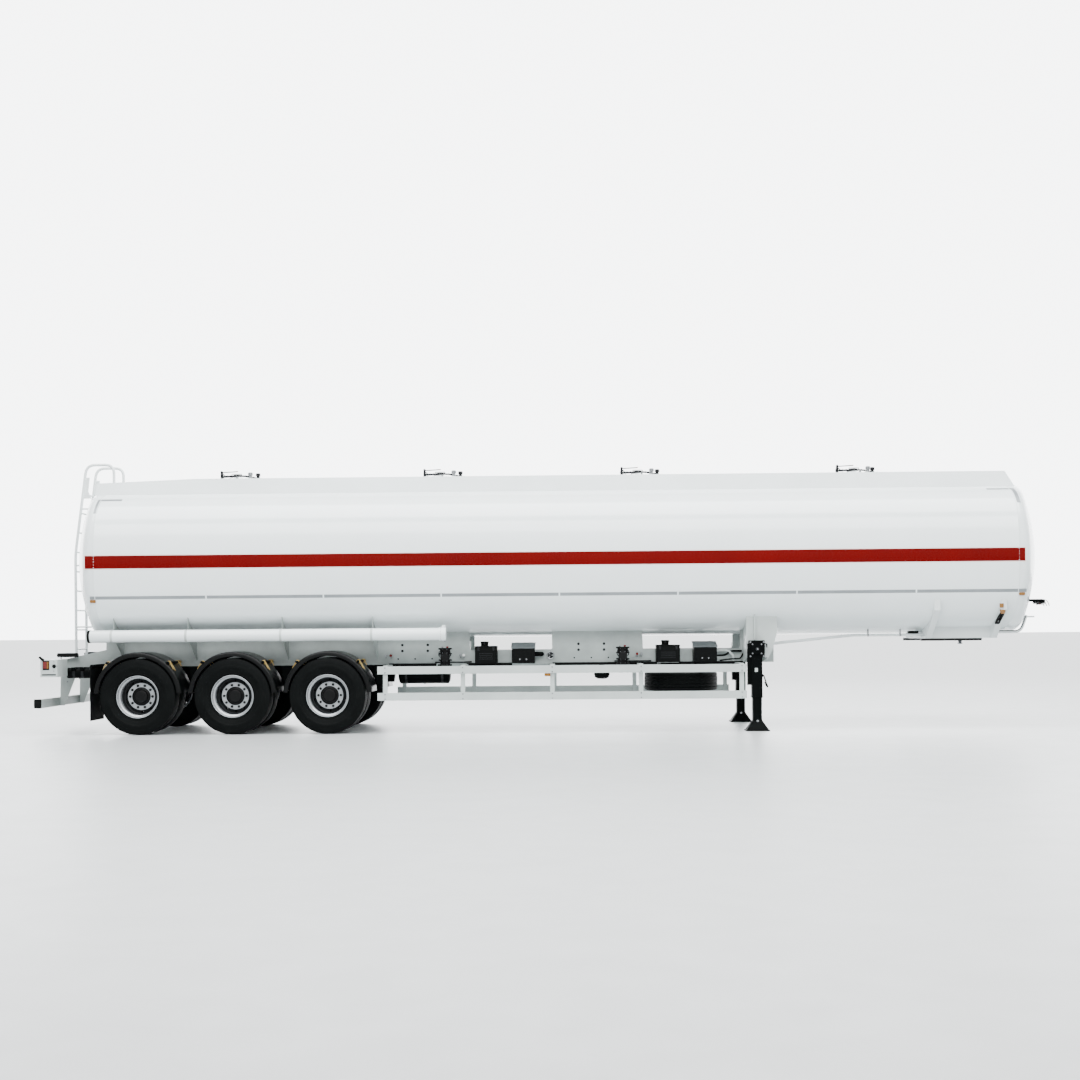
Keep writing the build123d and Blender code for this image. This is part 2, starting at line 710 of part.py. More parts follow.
with BuildPart() as mudguards:
    for axle_x in axle_xs:
        for start_y, width, inner_r in (
            (guard_inner_y, guard_outer_y - guard_inner_y, guard_r),
            (guard_inner_y, guard_t, guard_r - guard_lip),
            (guard_outer_y - guard_t, guard_t, guard_r - guard_lip),
        ):
            with BuildSketch(beside(start_y)):
                with Locations((axle_x, wheel_z)):
                    Circle(guard_r + guard_t)
                    Circle(inner_r, mode=Mode.SUBTRACT)
                with Locations((axle_x, wheel_z + guard_end_rise - guard_r)):
                    Rectangle(3 * guard_r, 2 * guard_r, mode=Mode.SUBTRACT)
            extrude(amount=width)
        stay_reach = guard_r + guard_t + guard_stay_r - running_gap
        with BuildSketch(beside(web_outer_y + seat_gap)):
            for side in (-1, 1):
                stay_x = axle_x + side * stay_reach * cos(radians(guard_stay_angle))
                with Locations((stay_x, wheel_z + stay_reach * sin(radians(guard_stay_angle)))):
                    Circle(guard_stay_r)
        extrude(amount=guard_outer_y - web_outer_y)
    with BuildSketch(beside(guard_inner_y)):
        with Locations((flap_x, (flap_bottom_z + flap_top_z) / 2)):
            Rectangle(flap_t, flap_top_z - flap_bottom_z)
    extrude(amount=guard_outer_y - guard_inner_y)
    with BuildSketch(beside(web_outer_y + seat_gap)):
        with Locations((flap_x + guard_stay_r, flap_top_z)):
            Circle(guard_stay_r)
    extrude(amount=guard_outer_y - web_outer_y)
    mirror(about=Plane.XZ)
mudguards.part.label = "mudguards"
export_step(mudguards.part, "parts/mudguards.step")

# Landing gear: square telescopic legs on a braced support, with a cross shaft and crank.
leg_y = 1050
leg_outer_w = 142
leg_inner_w = 124
leg_outer_bottom_z = 463
leg_top_z = 1003
leg_head_w = 210
leg_head_top_z = 1238
foot_l = 330
foot_w = 290
foot_corner_r = 40
foot_neck_w = 150
foot_h = 130
leg_mount_rear_x = 2744
leg_mount_w = 100
leg_mount_low_z = 628
leg_mount_high_z = 1196
crank_r = 9
crank_z = 756
crank_path = (  # ahead of the leg's face, rise
    (-8, 0),
    (26, 0),
    (80, -165),
)
crank_bend_r = 14

with BuildPart() as landing_gear:
    with BuildSketch(Plane.XY):
        with Locations((leg_x, -leg_y)):
            RectangleRounded(foot_l, foot_w, foot_corner_r)
    with BuildSketch(Plane.XY.offset(foot_h)):
        with Locations((leg_x, -leg_y)):
            RectangleRounded(foot_neck_w, foot_neck_w, foot_corner_r)
    loft()
    for low_z, high_z, width in (
        (foot_h, leg_outer_bottom_z, leg_inner_w),
        (leg_outer_bottom_z, leg_top_z, leg_outer_w),
        (leg_top_z, leg_head_top_z, leg_head_w),
    ):
        with BuildSketch(Plane.XY.offset(low_z)):
            with Locations((leg_x, -leg_y)):
                Rectangle(width, min(width, leg_outer_w))
        extrude(amount=high_z - low_z)
    with BuildSketch(Plane.XY.offset(leg_mount_low_z)):
        with Locations(((leg_mount_rear_x + leg_x) / 2, -leg_y)):
            Rectangle(leg_x - leg_mount_rear_x, leg_mount_w)
    extrude(amount=leg_mount_high_z - leg_mount_low_z)
    with BuildSketch(beside(0)):
        with Locations((leg_x, shaft_z)):
            Circle(shaft_r)
    extrude(amount=leg_y)
    mirror(about=Plane.XZ)
    face_x = leg_x + leg_outer_w / 2
    with BuildLine(Plane.XZ.offset(leg_y)):
        FilletPolyline([(face_x + ahead, crank_z + up) for ahead, up in crank_path], radius=crank_bend_r)
    with BuildSketch(Plane(origin=(face_x + crank_path[0][0], -leg_y, crank_z), z_dir=(1, 0, 0))):
        Circle(crank_r)
    sweep()
landing_gear.part.label = "landing_gear"
export_step(landing_gear.part, "parts/landing_gear.step")

# Landing gear support: tapered plates from the rails out to the legs.
support_xs = (2745, 3035)
support_t = 10
support_y = leg_y - leg_outer_w / 2 - seat_gap
support_low_z = 1000
support_front = (  # x, z
    (3045, support_low_z),
    (3105, 1130),
    (3165, 1360),
)

with BuildPart() as leg_support:
    for support_x in support_xs:
        with BuildSketch(across(support_x - support_t / 2)):
            with BuildLine():
                Polyline(
                    (-web_outer_y - seat_gap, rail_bottom_z + rail_flange_t + seat_gap),
                    (-support_y, support_low_z),
                    (-support_y, tank_axis_z),
                    (-web_outer_y - seat_gap, tank_axis_z),
                    close=True,
                )
            make_face()
        extrude(amount=support_t)
    with BuildSketch(beside(support_y - support_t)):
        with BuildLine():
            Polyline(
                (support_xs[0], support_low_z),
                *support_front,
                (support_front[-1][0], tank_axis_z),
                (support_xs[0], tank_axis_z),
                close=True,
            )
        make_face()
    extrude(amount=support_t)
    add(tank_seat.part, mode=Mode.SUBTRACT)
    with BuildSketch(beside(0)):
        with Locations((leg_x, shaft_z)):
            Circle(shaft_r + running_gap)
    extrude(amount=tank_width, mode=Mode.SUBTRACT)
    mirror(about=Plane.XZ)
leg_support.part.label = "leg_support"
export_step(leg_support.part, "parts/leg_support.step")

# Side guards: two rails on posts, hung from the chassis by arms.
side_guard_inset = 42
side_guard_y = tank_width / 2 - side_guard_inset
side_guard_rail_h = 105
side_guard_rail_t = 30
side_guard_top_z = 919
side_guard_low_top_z = 557
side_guard_rear_x = -2330
side_guard_front_x = 2705
side_guard_post_w = 60
side_guard_post_t = 30
side_guard_post_xs = (-2226, -1160, 65, 1278, 2651)
side_guard_arm_h = 50

with BuildPart() as right_guard:
    for top_z in (side_guard_top_z, side_guard_low_top_z):
        with BuildSketch(beside(side_guard_y)):
            with Locations(((side_guard_rear_x + side_guard_front_x) / 2, top_z - side_guard_rail_h / 2)):
                Rectangle(side_guard_front_x - side_guard_rear_x, side_guard_rail_h)
        extrude(amount=side_guard_rail_t)
    for post_x in side_guard_post_xs:
        low_z = side_guard_low_top_z - side_guard_rail_h
        with BuildSketch(beside(side_guard_y - side_guard_post_t)):
            with Locations((post_x, (low_z + side_guard_top_z) / 2)):
                Rectangle(side_guard_post_w, side_guard_top_z - low_z)
        extrude(amount=side_guard_post_t)
        with BuildSketch(beside(web_outer_y - rail_flange_w)):
            with Locations((post_x, rail_bottom_z - seat_gap - side_guard_arm_h / 2)):
                Rectangle(side_guard_post_w, side_guard_arm_h)
        extrude(amount=side_guard_y - side_guard_post_t / 2 - web_outer_y + rail_flange_w)
for side_name, half in (("right", right_guard.part), ("left", mirror(right_guard.part, about=Plane.XZ))):
    half.label = f"side_guard_{side_name}"
    export_step(half, f"parts/{half.label}.step")

# Spare wheel: one wheel lying flat under a carrier between the rails.
spare_x = 1900
spare_z = 655
carrier_bar_w = 60
carrier_bar_pitch = 560
carrier_block_w = 500
carrier_rod_r = 14
carrier_plate_l = 330
carrier_plate_w = 110
carrier_plate_t = 10

with BuildPart() as spare_tyre:
    with BuildSketch(Plane.XZ):
        with BuildLine():
            Polyline([(spare_x + radius, spare_z + offset) for offset, radius in tyre_profile], close=True)
        make_face()
    revolve(axis=Axis((spare_x, 0, spare_z), (0, 0, 1)))
spare_tyre.part.label = "spare_tyre"
export_step(spare_tyre.part, "parts/spare_tyre.step")

with BuildPart() as spare_rim:
    with BuildSketch(Plane.XZ):
        top_z = spare_z + rim_w / 2
        low_z = spare_z - rim_w / 2
        face_z = spare_z - twin_pitch / 2
        with BuildLine():
            Polyline(
                (spare_x + rim_flange_r, low_z),
                (spare_x + rim_flange_r, low_z + rim_wall),
                (spare_x + bead_r, low_z + rim_wall),
                (spare_x + bead_r, top_z - rim_wall),
                (spare_x + rim_flange_r, top_z - rim_wall),
                (spare_x + rim_flange_r, top_z),
                (spare_x + bead_r - rim_wall, top_z),
                (spare_x + bead_r - rim_wall, spare_z),
                (spare_x + disc_r, face_z + disc_t),
                (spare_x + hub_r, face_z + disc_t),
                (spare_x + hub_r, face_z),
                (spare_x + disc_r, face_z),
                (spare_x + bead_r - rim_wall, spare_z - disc_t),
                (spare_x + bead_r - rim_wall, low_z),
                close=True,
            )
        make_face()
    revolve(axis=Axis((spare_x, 0, spare_z), (0, 0, 1)))
spare_rim.part.label = "spare_rim"
export_step(spare_rim.part, "parts/spare_rim.step")

with BuildPart() as spare_carrier:
    bar_top_z = rail_bottom_z - seat_gap
    spare_top_z = spare_z + tyre_w / 2 + seat_gap
    with BuildSketch(Plane.XY.offset(bar_top_z - carrier_bar_w)):
        for end in (-1, 1):
            with Locations((spare_x + end * carrier_bar_pitch / 2, 0)):
                Rectangle(carrier_bar_w, 2 * web_outer_y)
        with Locations((spare_x, 0)):
            Rectangle(carrier_bar_pitch, carrier_bar_w)
    extrude(amount=carrier_bar_w)
    with BuildSketch(Plane.XY.offset(spare_top_z)):
        for end in (-1, 1):
            with Locations((spare_x + end * carrier_bar_pitch / 2, 0)):
                Rectangle(carrier_bar_w, carrier_block_w)
    extrude(amount=bar_top_z - spare_top_z - carrier_bar_w / 2)
    plate_top_z = spare_z - twin_pitch / 2 - seat_gap
    with BuildSketch(Plane.XY.offset(plate_top_z - carrier_plate_t)):
        with Locations((spare_x, 0)):
            Rectangle(carrier_plate_l, carrier_plate_w)
    extrude(amount=carrier_plate_t)
    with BuildSketch(Plane.XY.offset(plate_top_z - 4 * carrier_plate_t)):
        with Locations((spare_x, 0)):
            Circle(carrier_rod_r)
    extrude(amount=bar_top_z - carrier_bar_w / 2 - plate_top_z + 4 * carrier_plate_t)
spare_carrier.part.label = "spare_carrier"
export_step(spare_carrier.part, "parts/spare_carrier.step")

# Rear ladder: two stiles that lean to the tank's top and end in handrail hoops.
ladder_half_w = 235
stile_r = 20
rung_r = 12
rung_pitch = 280
stile_x = -6805
stile_bottom_z = 1040
stile_bend_rise = 165
stile_lean_x = -6652
stile_lean_rise = 250
head_low_rise = -102
head_high_rise = 200
head_foot_l = 130
head_arm_l = 70
head_t = 8
hoop_rise = 400
hoop_rear_x = -6540
hoop_front_x = -6340
hoop_foot_x = -6262
stile_bend_r = 60
ladder_stay_rises = (-885, 0, 815)
ladder_stay_l = 300
stile_bend_z = tank_axis_z + stile_bend_rise
stile_lean_z = tank_top_z + stile_lean_rise
hoop_top_z = tank_top_z + hoop_rise - stile_r
stile_slope = (stile_lean_x - stile_x) / (stile_lean_z - stile_bend_z)


def stile_at(z):
    """Place along X of a stile's middle line at a height above the ground."""
    return stile_x + max(0, z - stile_bend_z) * stile_slope


with BuildPart() as ladder:
    with BuildLine(Plane.XZ.offset(ladder_half_w)):
        FilletPolyline(
            (stile_x, stile_bottom_z),
            (stile_x, stile_bend_z),
            (stile_lean_x, stile_lean_z),
            (hoop_rear_x, hoop_top_z),
            (hoop_front_x, hoop_top_z),
            (hoop_foot_x, crown_z(ladder_half_w)),
            radius=stile_bend_r,
        )
    with BuildSketch(Plane(origin=(stile_x, -ladder_half_w, stile_bottom_z), z_dir=(0, 0, 1))):
        Circle(stile_r)
    sweep()
    head_low_z = tank_top_z + head_low_rise
    head_high_z = tank_top_z + head_high_rise
    neck_z = (2 * head_low_z + head_high_z) / 3
    with BuildSketch(Plane.XZ.offset(ladder_half_w - head_t / 2)):
        with BuildLine():
            Polyline(
                (stile_at(head_low_z), head_low_z),
                (stile_at(head_low_z) + head_foot_l, head_low_z),
                (stile_at(neck_z) + head_arm_l, neck_z),
                (stile_at(head_high_z) + head_arm_l, head_high_z),
                (stile_at(head_high_z), head_high_z),
                close=True,
            )
        make_face()
    extrude(amount=head_t)
    mirror(about=Plane.XZ)
    rung_count = int((stile_lean_z - stile_bottom_z) / rung_pitch)
    for rung in range(rung_count):
        rung_z = stile_bottom_z + (rung + 0.5) * rung_pitch
        with BuildSketch(Plane.XZ):
            with Locations((stile_at(rung_z), rung_z)):
                Circle(rung_r)
        extrude(amount=ladder_half_w, both=True)
    for stay_rise in ladder_stay_rises:
        stay_z = tank_axis_z + stay_rise
        for side in (-1, 1):
            with BuildSketch(Plane(origin=(stile_at(stay_z), side * ladder_half_w, stay_z), z_dir=(1, 0, 0))):
                Circle(rung_r)
            extrude(amount=ladder_stay_l)
    add(tank.part, mode=Mode.SUBTRACT)
ladder.part.label = "ladder"
export_step(ladder.part, "parts/ladder.step")

# Underride guard: a bar on tapered supports under the frame's tail.
bar_rear_x = -7075
bar_l = 100
bar_h = 120
bar_top_z = 500
bar_half_w = 1225
bar_corner_r = 10
support_foot_x = -6915
support_rear_x = -6975
support_head_x = -6697
underride_ys = (-430, 430)
underride_plate_t = 12

with BuildPart() as underride:
    with BuildSketch(across(bar_rear_x)):
        with Locations((0, bar_top_z - bar_h / 2)):
            RectangleRounded(2 * bar_half_w, bar_h, bar_corner_r)
    extrude(amount=bar_l)
    for support_y in underride_ys:
        with BuildSketch(beside(-support_y - underride_plate_t / 2)):
            with BuildLine():
                Polyline(
                    (support_rear_x, bar_top_z),
                    (support_rear_x, bar_top_z - bar_h),
                    (support_foot_x, bar_top_z - bar_h),
                    (support_head_x, rail_bottom_z - seat_gap),
                    (support_rear_x + underride_plate_t, rail_bottom_z - seat_gap),
                    close=True,
                )
            make_face()
        extrude(amount=underride_plate_t)
        with BuildSketch(Plane.XY.offset(rail_bottom_z - seat_gap - underride_plate_t)):
            head_l = support_head_x - support_rear_x
            with Locations((support_head_x - head_l / 2, support_y)):
                Rectangle(head_l, 2 * (web_outer_y - abs(support_y)))
        extrude(amount=underride_plate_t)
underride.part.label = "underride_guard"
export_step(underride.part, "parts/underride_guard.step")

# Rear beam: a full-width box behind the frame that carries the rear lamps.
beam_rear_x = -6978
beam_front_x = tail_rear_x - seat_gap
beam_bottom_z = 807
beam_top_z = 1047
beam_half_w = 1240
beam_end_l = 236
beam_end_w = 420
rear_lamp_ys = (895, 1020, 1145)
rear_lamp_r = 50
rear_lamp_z = 930
lamp_t = 14

with BuildPart() as rear_beam:
    with BuildSketch(Plane.XY.offset(rail_bottom_z)):
        with Locations(((beam_rear_x + beam_front_x) / 2, 0)):
            Rectangle(beam_front_x - beam_rear_x, 2 * beam_half_w)
    extrude(amount=beam_top_z - rail_bottom_z)
    with BuildSketch(Plane.XY.offset(beam_bottom_z)):
        for side in (-1, 1):
            with Locations((beam_rear_x + beam_end_l / 2, side * (beam_half_w - beam_end_w / 2))):
                Rectangle(beam_end_l, beam_end_w)
    extrude(amount=beam_top_z - beam_bottom_z)
rear_beam.part.label = "rear_beam"
export_step(rear_beam.part, "parts/rear_beam.step")

with BuildPart() as rear_lamps:
    with BuildSketch(across(beam_rear_x - seat_gap)):
        for lamp_y in rear_lamp_ys:
            for side in (-1, 1):
                with Locations((side * lamp_y, rear_lamp_z)):
                    Circle(rear_lamp_r)
    extrude(amount=-lamp_t)
rear_lamps.part.label = "rear_lamps"
export_step(rear_lamps.part, "parts/rear_lamps.step")

# Side marker lamps: on the tank's flanks near its ends and under the guards' top rails.
marker_xs = (-6258, 6457)
marker_drop = 540
marker_l = 82
marker_h = 42
marker_t = 20
marker_z = tank_axis_z - marker_drop

with BuildPart() as side_lamps:
    for lamp_x in marker_xs:
        with BuildSketch(beside(flank_y(marker_z) - 2 * marker_t)):
            with Locations((lamp_x, marker_z)):
                RectangleRounded(marker_l, marker_h, marker_h / 4)
        extrude(amount=3 * marker_t)
    add(tank.part, mode=Mode.SUBTRACT)
    with BuildSketch(beside(side_guard_y)):
        with Locations((0, side_guard_top_z - side_guard_rail_h - seat_gap - marker_h / 2)):
            RectangleRounded(marker_l, marker_h, marker_h / 4)
    extrude(amount=side_guard_rail_t)
    mirror(about=Plane.XZ)
side_lamps.part.label = "side_lamps"
export_step(side_lamps.part, "parts/side_lamps.step")

# Air reservoirs: one beside the frame's tail and one slung between the rails.
reservoirs = (  # start_x, end_x, y, z, radius
    (-6790, -6430, -700, 850, 75),
    (-2180, -1420, 0, 770, 125),
)
sling_w = 50
sling_h = 40
sling_inset = 120

with BuildPart() as air_tanks:
    for start_x, end_x, y, z, radius in reservoirs:
        with BuildSketch(across(start_x)):
            with Locations((y, z)):
                Circle(radius)
        extrude(amount=end_x - start_x)
    start_x, end_x, y, z, radius = reservoirs[1]
    for sling_x in (start_x + sling_inset, end_x - sling_inset):
        with BuildSketch(Plane.XY.offset(rail_bottom_z - seat_gap - sling_h)):
            with Locations((sling_x, 0)):
                Rectangle(sling_w, 2 * web_outer_y)
        extrude(amount=sling_h)
    start_x, end_x, y, z, radius = reservoirs[0]
    for sling_x in (start_x + sling_inset, end_x - sling_inset):
        with BuildSketch(Plane.XY.offset(rail_bottom_z - seat_gap - sling_h)):
            with Locations((sling_x, (y - web_outer_y) / 2)):
                Rectangle(sling_w, -y - web_outer_y + 2 * rail_flange_w)
        extrude(amount=sling_h)
air_tanks.part.label = "air_tanks"
export_step(air_tanks.part, "parts/air_tanks.step")

# Outlet boxes, toolboxes and valves along the right rail.
box_inner_y = web_outer_y + seat_gap
box_low_z = rail_bottom_z + rail_flange_t + seat_gap
vent_boxes = (  # start_x, end_x
    (-1020, -710),
    (1510, 1840),
)
vent_box_w = 260
vent_box_top_z = 1180
vent_box_corner_r = 20
vent_neck_r = 50
vent_neck_h = 70
vent_neck_back = 130

with BuildPart() as drain_boxes:
    for start_x, end_x in vent_boxes:
        with BuildSketch(Plane.XY.offset(box_low_z)):
            with Locations(((start_x + end_x) / 2, -box_inner_y - vent_box_w / 2)):
                RectangleRounded(end_x - start_x, vent_box_w, vent_box_corner_r)
        extrude(amount=vent_box_top_z - box_low_z)
        with BuildSketch(Plane.XY.offset(vent_box_top_z)):
            with Locations((start_x + vent_neck_back, -box_inner_y - vent_box_w / 2)):
                Circle(vent_neck_r)
        extrude(amount=vent_neck_h)
drain_boxes.part.label = "drain_boxes"
export_step(drain_boxes.part, "parts/drain_boxes.step")

toolbox_xs = (-345, 2190)
toolbox_l = 320
toolbox_w = 280
toolbox_wall = 4
toolbox_front_z = 1150
toolbox_back_z = 1222
toolbox_lid_t = 8
toolbox_lid_lip = 10
toolbox_slope = (toolbox_back_z - toolbox_front_z) / toolbox_w
toolbox_outer_y = box_inner_y + toolbox_w

with BuildPart() as toolbox_bodies:
    for toolbox_x in toolbox_xs:
        with BuildSketch(across(toolbox_x - toolbox_l / 2)):
            with BuildLine():
                Polyline(
                    (-box_inner_y, box_low_z),
                    (-toolbox_outer_y, box_low_z),
                    (-toolbox_outer_y, toolbox_front_z),
                    (-box_inner_y, toolbox_back_z),
                    close=True,
                )
            make_face()
        extrude(amount=toolbox_l)
        with BuildSketch(Plane.XY.offset(box_low_z + toolbox_wall)):
            with Locations((toolbox_x, -box_inner_y - toolbox_w / 2)):
                Rectangle(toolbox_l - 2 * toolbox_wall, toolbox_w - 2 * toolbox_wall)
        extrude(amount=toolbox_back_z, mode=Mode.SUBTRACT)
toolbox_bodies.part.label = "toolboxes"
export_step(toolbox_bodies.part, "parts/toolboxes.step")

for number, toolbox_x in enumerate(toolbox_xs, start=1):
    with BuildPart() as lid:
        with BuildSketch(across(toolbox_x - toolbox_l / 2 - toolbox_lid_lip)):
            with BuildLine():
                back_z = toolbox_back_z + seat_gap
                front_y = toolbox_outer_y + toolbox_lid_lip
                front_z = back_z - toolbox_slope * (front_y - box_inner_y)
                Polyline(
                    (-box_inner_y - running_gap, back_z),
                    (-front_y, front_z),
                    (-front_y, front_z + toolbox_lid_t),
                    (-box_inner_y - running_gap, back_z + toolbox_lid_t),
                    close=True,
                )
            make_face()
        extrude(amount=toolbox_l + 2 * toolbox_lid_lip)
    lid.part.label = f"toolbox_lid_{number}"
    export_step(lid.part, f"parts/toolbox_lid_{number}.step")

# Bottom valves: flanged bodies on pipes from the tank's sump to the right side.
valve_xs = (-1434, 1042)
valve_y = 800
valve_low_z = 914
valve_discs = (  # height, radius
    (22, 95),
    (50, 70),
    (18, 95),
    (70, 62),
    (18, 95),
    (50, 75),
    (22, 95),
)
valve_pipe_r = 50
valve_pipe_rise = 125

with BuildPart() as valves:
    for valve_x in valve_xs:
        low_z = valve_low_z
        for height, radius in valve_discs:
            with BuildSketch(Plane.XY.offset(low_z)):
                with Locations((valve_x, -valve_y)):
                    Circle(radius)
            extrude(amount=height)
            low_z = low_z + height
        with BuildSketch(beside(web_outer_y + seat_gap)):
            with Locations((valve_x, valve_low_z + valve_pipe_rise)):
                Circle(valve_pipe_r)
        extrude(amount=valve_y - web_outer_y)
valves.part.label = "valves"
export_step(valves.part, "parts/valves.step")

# Coupler: a webbed plate under the front with two flanged saddles up to the tank's flanks.
coupler_rear_x = 5205
coupler_front_x = 6290
coupler_bottom_z = 1245
coupler_plate_t = 12
coupler_corner_r = 60
coupler_half_w = 620
coupler_web_ys = (-600, -330, 330, 600)
coupler_web_t = 10
saddle_xs = (5284, 6184)
saddle_t = 12
saddle_flange_w = 80
saddle_rise = 460
saddle_tip_h = 150
saddle_tip_z = tank_bottom_z + saddle_rise
saddle_half_w = flank_y(saddle_tip_z) + seat_gap


def saddle_outline(inset):
    """Closed outline of a saddle, moved inward along its foot and sides."""
    foot_y = coupler_half_w - inset
    tip_y = saddle_half_w - inset
    with BuildLine() as line:
        Polyline(
            (-foot_y, coupler_bottom_z + inset),
            (foot_y, coupler_bottom_z + inset),
            (tip_y, saddle_tip_z - saddle_tip_h),
            (tip_y, tank_axis_z),
            (-tip_y, tank_axis_z),
            (-tip_y, saddle_tip_z - saddle_tip_h),
            close=True,
        )
    return line.edges()


with BuildPart() as coupler:
    for saddle_x in saddle_xs:
        with BuildSketch(across(saddle_x)):
            make_face(saddle_outline(0))
        extrude(amount=saddle_flange_w)
        with BuildSketch(across(saddle_x + saddle_t)):
            make_face(saddle_outline(saddle_t))
        extrude(amount=saddle_flange_w, mode=Mode.SUBTRACT)
        with BuildSketch(Plane.XY.offset(saddle_tip_z)):
            with Locations((saddle_x + saddle_flange_w / 2, 0)):
                Rectangle(2 * saddle_flange_w, tank_width)
        extrude(amount=tank_height, mode=Mode.SUBTRACT)
    with BuildSketch(Plane.XY.offset(coupler_bottom_z)):
        with Locations(((coupler_rear_x + coupler_front_x) / 2, 0)):
            RectangleRounded(coupler_front_x - coupler_rear_x, 2 * coupler_half_w, coupler_corner_r)
    extrude(amount=coupler_plate_t)
    for web in coupler_web_ys:
        with BuildSketch(beside(-web - coupler_web_t / 2)):
            with Locations(((saddle_xs[0] + saddle_xs[1]) / 2, (coupler_bottom_z + tank_axis_z) / 2)):
                Rectangle(saddle_xs[1] - saddle_xs[0] + 2 * saddle_t, tank_axis_z - coupler_bottom_z)
        extrude(amount=coupler_web_t)
    add(tank_seat.part, mode=Mode.SUBTRACT)
coupler.part.label = "coupler"
export_step(coupler.part, "parts/coupler.step")

# Rub strips: dark edges under both sides of the coupler's plate.
rub_strip_xs = (5220, 6066)
rub_strip_w = 40
rub_strip_h = 34

with BuildPart() as rub_strips:
    with BuildSketch(Plane.XY.offset(coupler_bottom_z - seat_gap - rub_strip_h)):
        with Locations(((rub_strip_xs[0] + rub_strip_xs[1]) / 2, rub_strip_w - coupler_half_w)):
            Rectangle(rub_strip_xs[1] - rub_strip_xs[0], rub_strip_w)
    extrude(amount=rub_strip_h)
    mirror(about=Plane.XZ)
rub_strips.part.label = "rub_strips"
export_step(rub_strips.part, "parts/rub_strips.step")

kingpin_x = 5910
kingpin_r = 25.4
kingpin_flange_r = 36
kingpin_l = 84
kingpin_neck_l = 35
kingpin_lip_l = 14
kingpin_base_r = 80
kingpin_base_t = 12

with BuildPart() as kingpin:
    with BuildSketch(Plane.XZ):
        top_z = coupler_bottom_z - seat_gap
        tip_z = top_z - kingpin_l
        for radius, high_z, low_z in (
            (kingpin_base_r, top_z, top_z - kingpin_base_t),
            (kingpin_flange_r, top_z, tip_z + kingpin_lip_l + kingpin_neck_l),
            (kingpin_r, top_z, tip_z),
            (kingpin_flange_r, tip_z + kingpin_lip_l, tip_z),
        ):
            with Locations((kingpin_x + radius / 2, (high_z + low_z) / 2)):
                Rectangle(radius, high_z - low_z)
    revolve(axis=Axis((kingpin_x, 0, 0), (0, 0, 1)))
kingpin.part.label = "kingpin"
export_step(kingpin.part, "parts/kingpin.step")

# Conduit: pipes under the belly to the coupler's rear saddle and from its front one up the front dish.
conduit_r = 20
conduit_y = 495
conduit_low_z = 1190
conduit_high_z = 1298
conduit_bend_x = 4300
conduit_bend_r = 600
conduit_lead = 60
feed_r = 17
feed_y = 460
feed_low_z = 1330
feed_path = (  # x, z
    (saddle_xs[1] + saddle_t + seat_gap, feed_low_z),
    (6645, feed_low_z),
    (6725, 1560),
)
feed_bend_r = 90
nipple_r = 11
nipple_l = 112
conduit_rear_x = crossmember_xs[-1] + crossmember_t / 2 + seat_gap

with BuildPart() as conduit:
    with BuildLine(Plane.XZ.offset(conduit_y)):
        FilletPolyline(
            (conduit_rear_x, conduit_low_z),
            (conduit_rear_x + conduit_lead, conduit_low_z),
            (conduit_bend_x, conduit_high_z),
            (saddle_xs[0] - seat_gap, conduit_high_z),
            radius=conduit_bend_r,
        )
    with BuildSketch(across(conduit_rear_x)):
        with Locations((-conduit_y, conduit_low_z)):
            Circle(conduit_r)
    sweep()
    with BuildLine(Plane.XZ.offset(feed_y)):
        FilletPolyline(*feed_path, radius=feed_bend_r)
    with BuildSketch(across(feed_path[0][0])):
        with Locations((-feed_y, feed_low_z)):
            Circle(feed_r)
    sweep()
    with BuildSketch(across(feed_path[-1][0])):
        with Locations((-feed_y, feed_path[-1][1] - 2 * nipple_r)):
            Circle(nipple_r)
    extrude(amount=nipple_l)
conduit.part.label = "conduit"
export_step(conduit.part, "parts/conduit.step")

# Couplings: air and electric connectors on a bracket at the front.
bracket_y = 300
bracket_drop = 608
bracket_w = 420
bracket_t = 8
bracket_rear_x = 6600
bracket_front_x = 6960
bracket_z = tank_axis_z - bracket_drop
coupling_l = 60
coupling_front_x = 7075
coupling_r = 38
coupling_ys = (-120, 0, 120)

with BuildPart() as couplings:
    with BuildSketch(Plane.XY.offset(bracket_z)):
        with Locations(((bracket_front_x + bracket_rear_x) / 2, -bracket_y)):
            Rectangle(bracket_front_x - bracket_rear_x, bracket_w)
    extrude(amount=bracket_t)
    add(tank.part, mode=Mode.SUBTRACT)
    for offset in coupling_ys:
        with BuildSketch(across(bracket_front_x - coupling_l)):
            with Locations((-bracket_y + offset, bracket_z + bracket_t / 2 - coupling_r)):
                Circle(coupling_r)
        extrude(amount=coupling_front_x - bracket_front_x + coupling_l)
couplings.part.label = "couplings"
export_step(couplings.part, "parts/couplings.step")
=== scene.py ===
import math

import bmesh
import bpy
from mathutils import Matrix, Vector


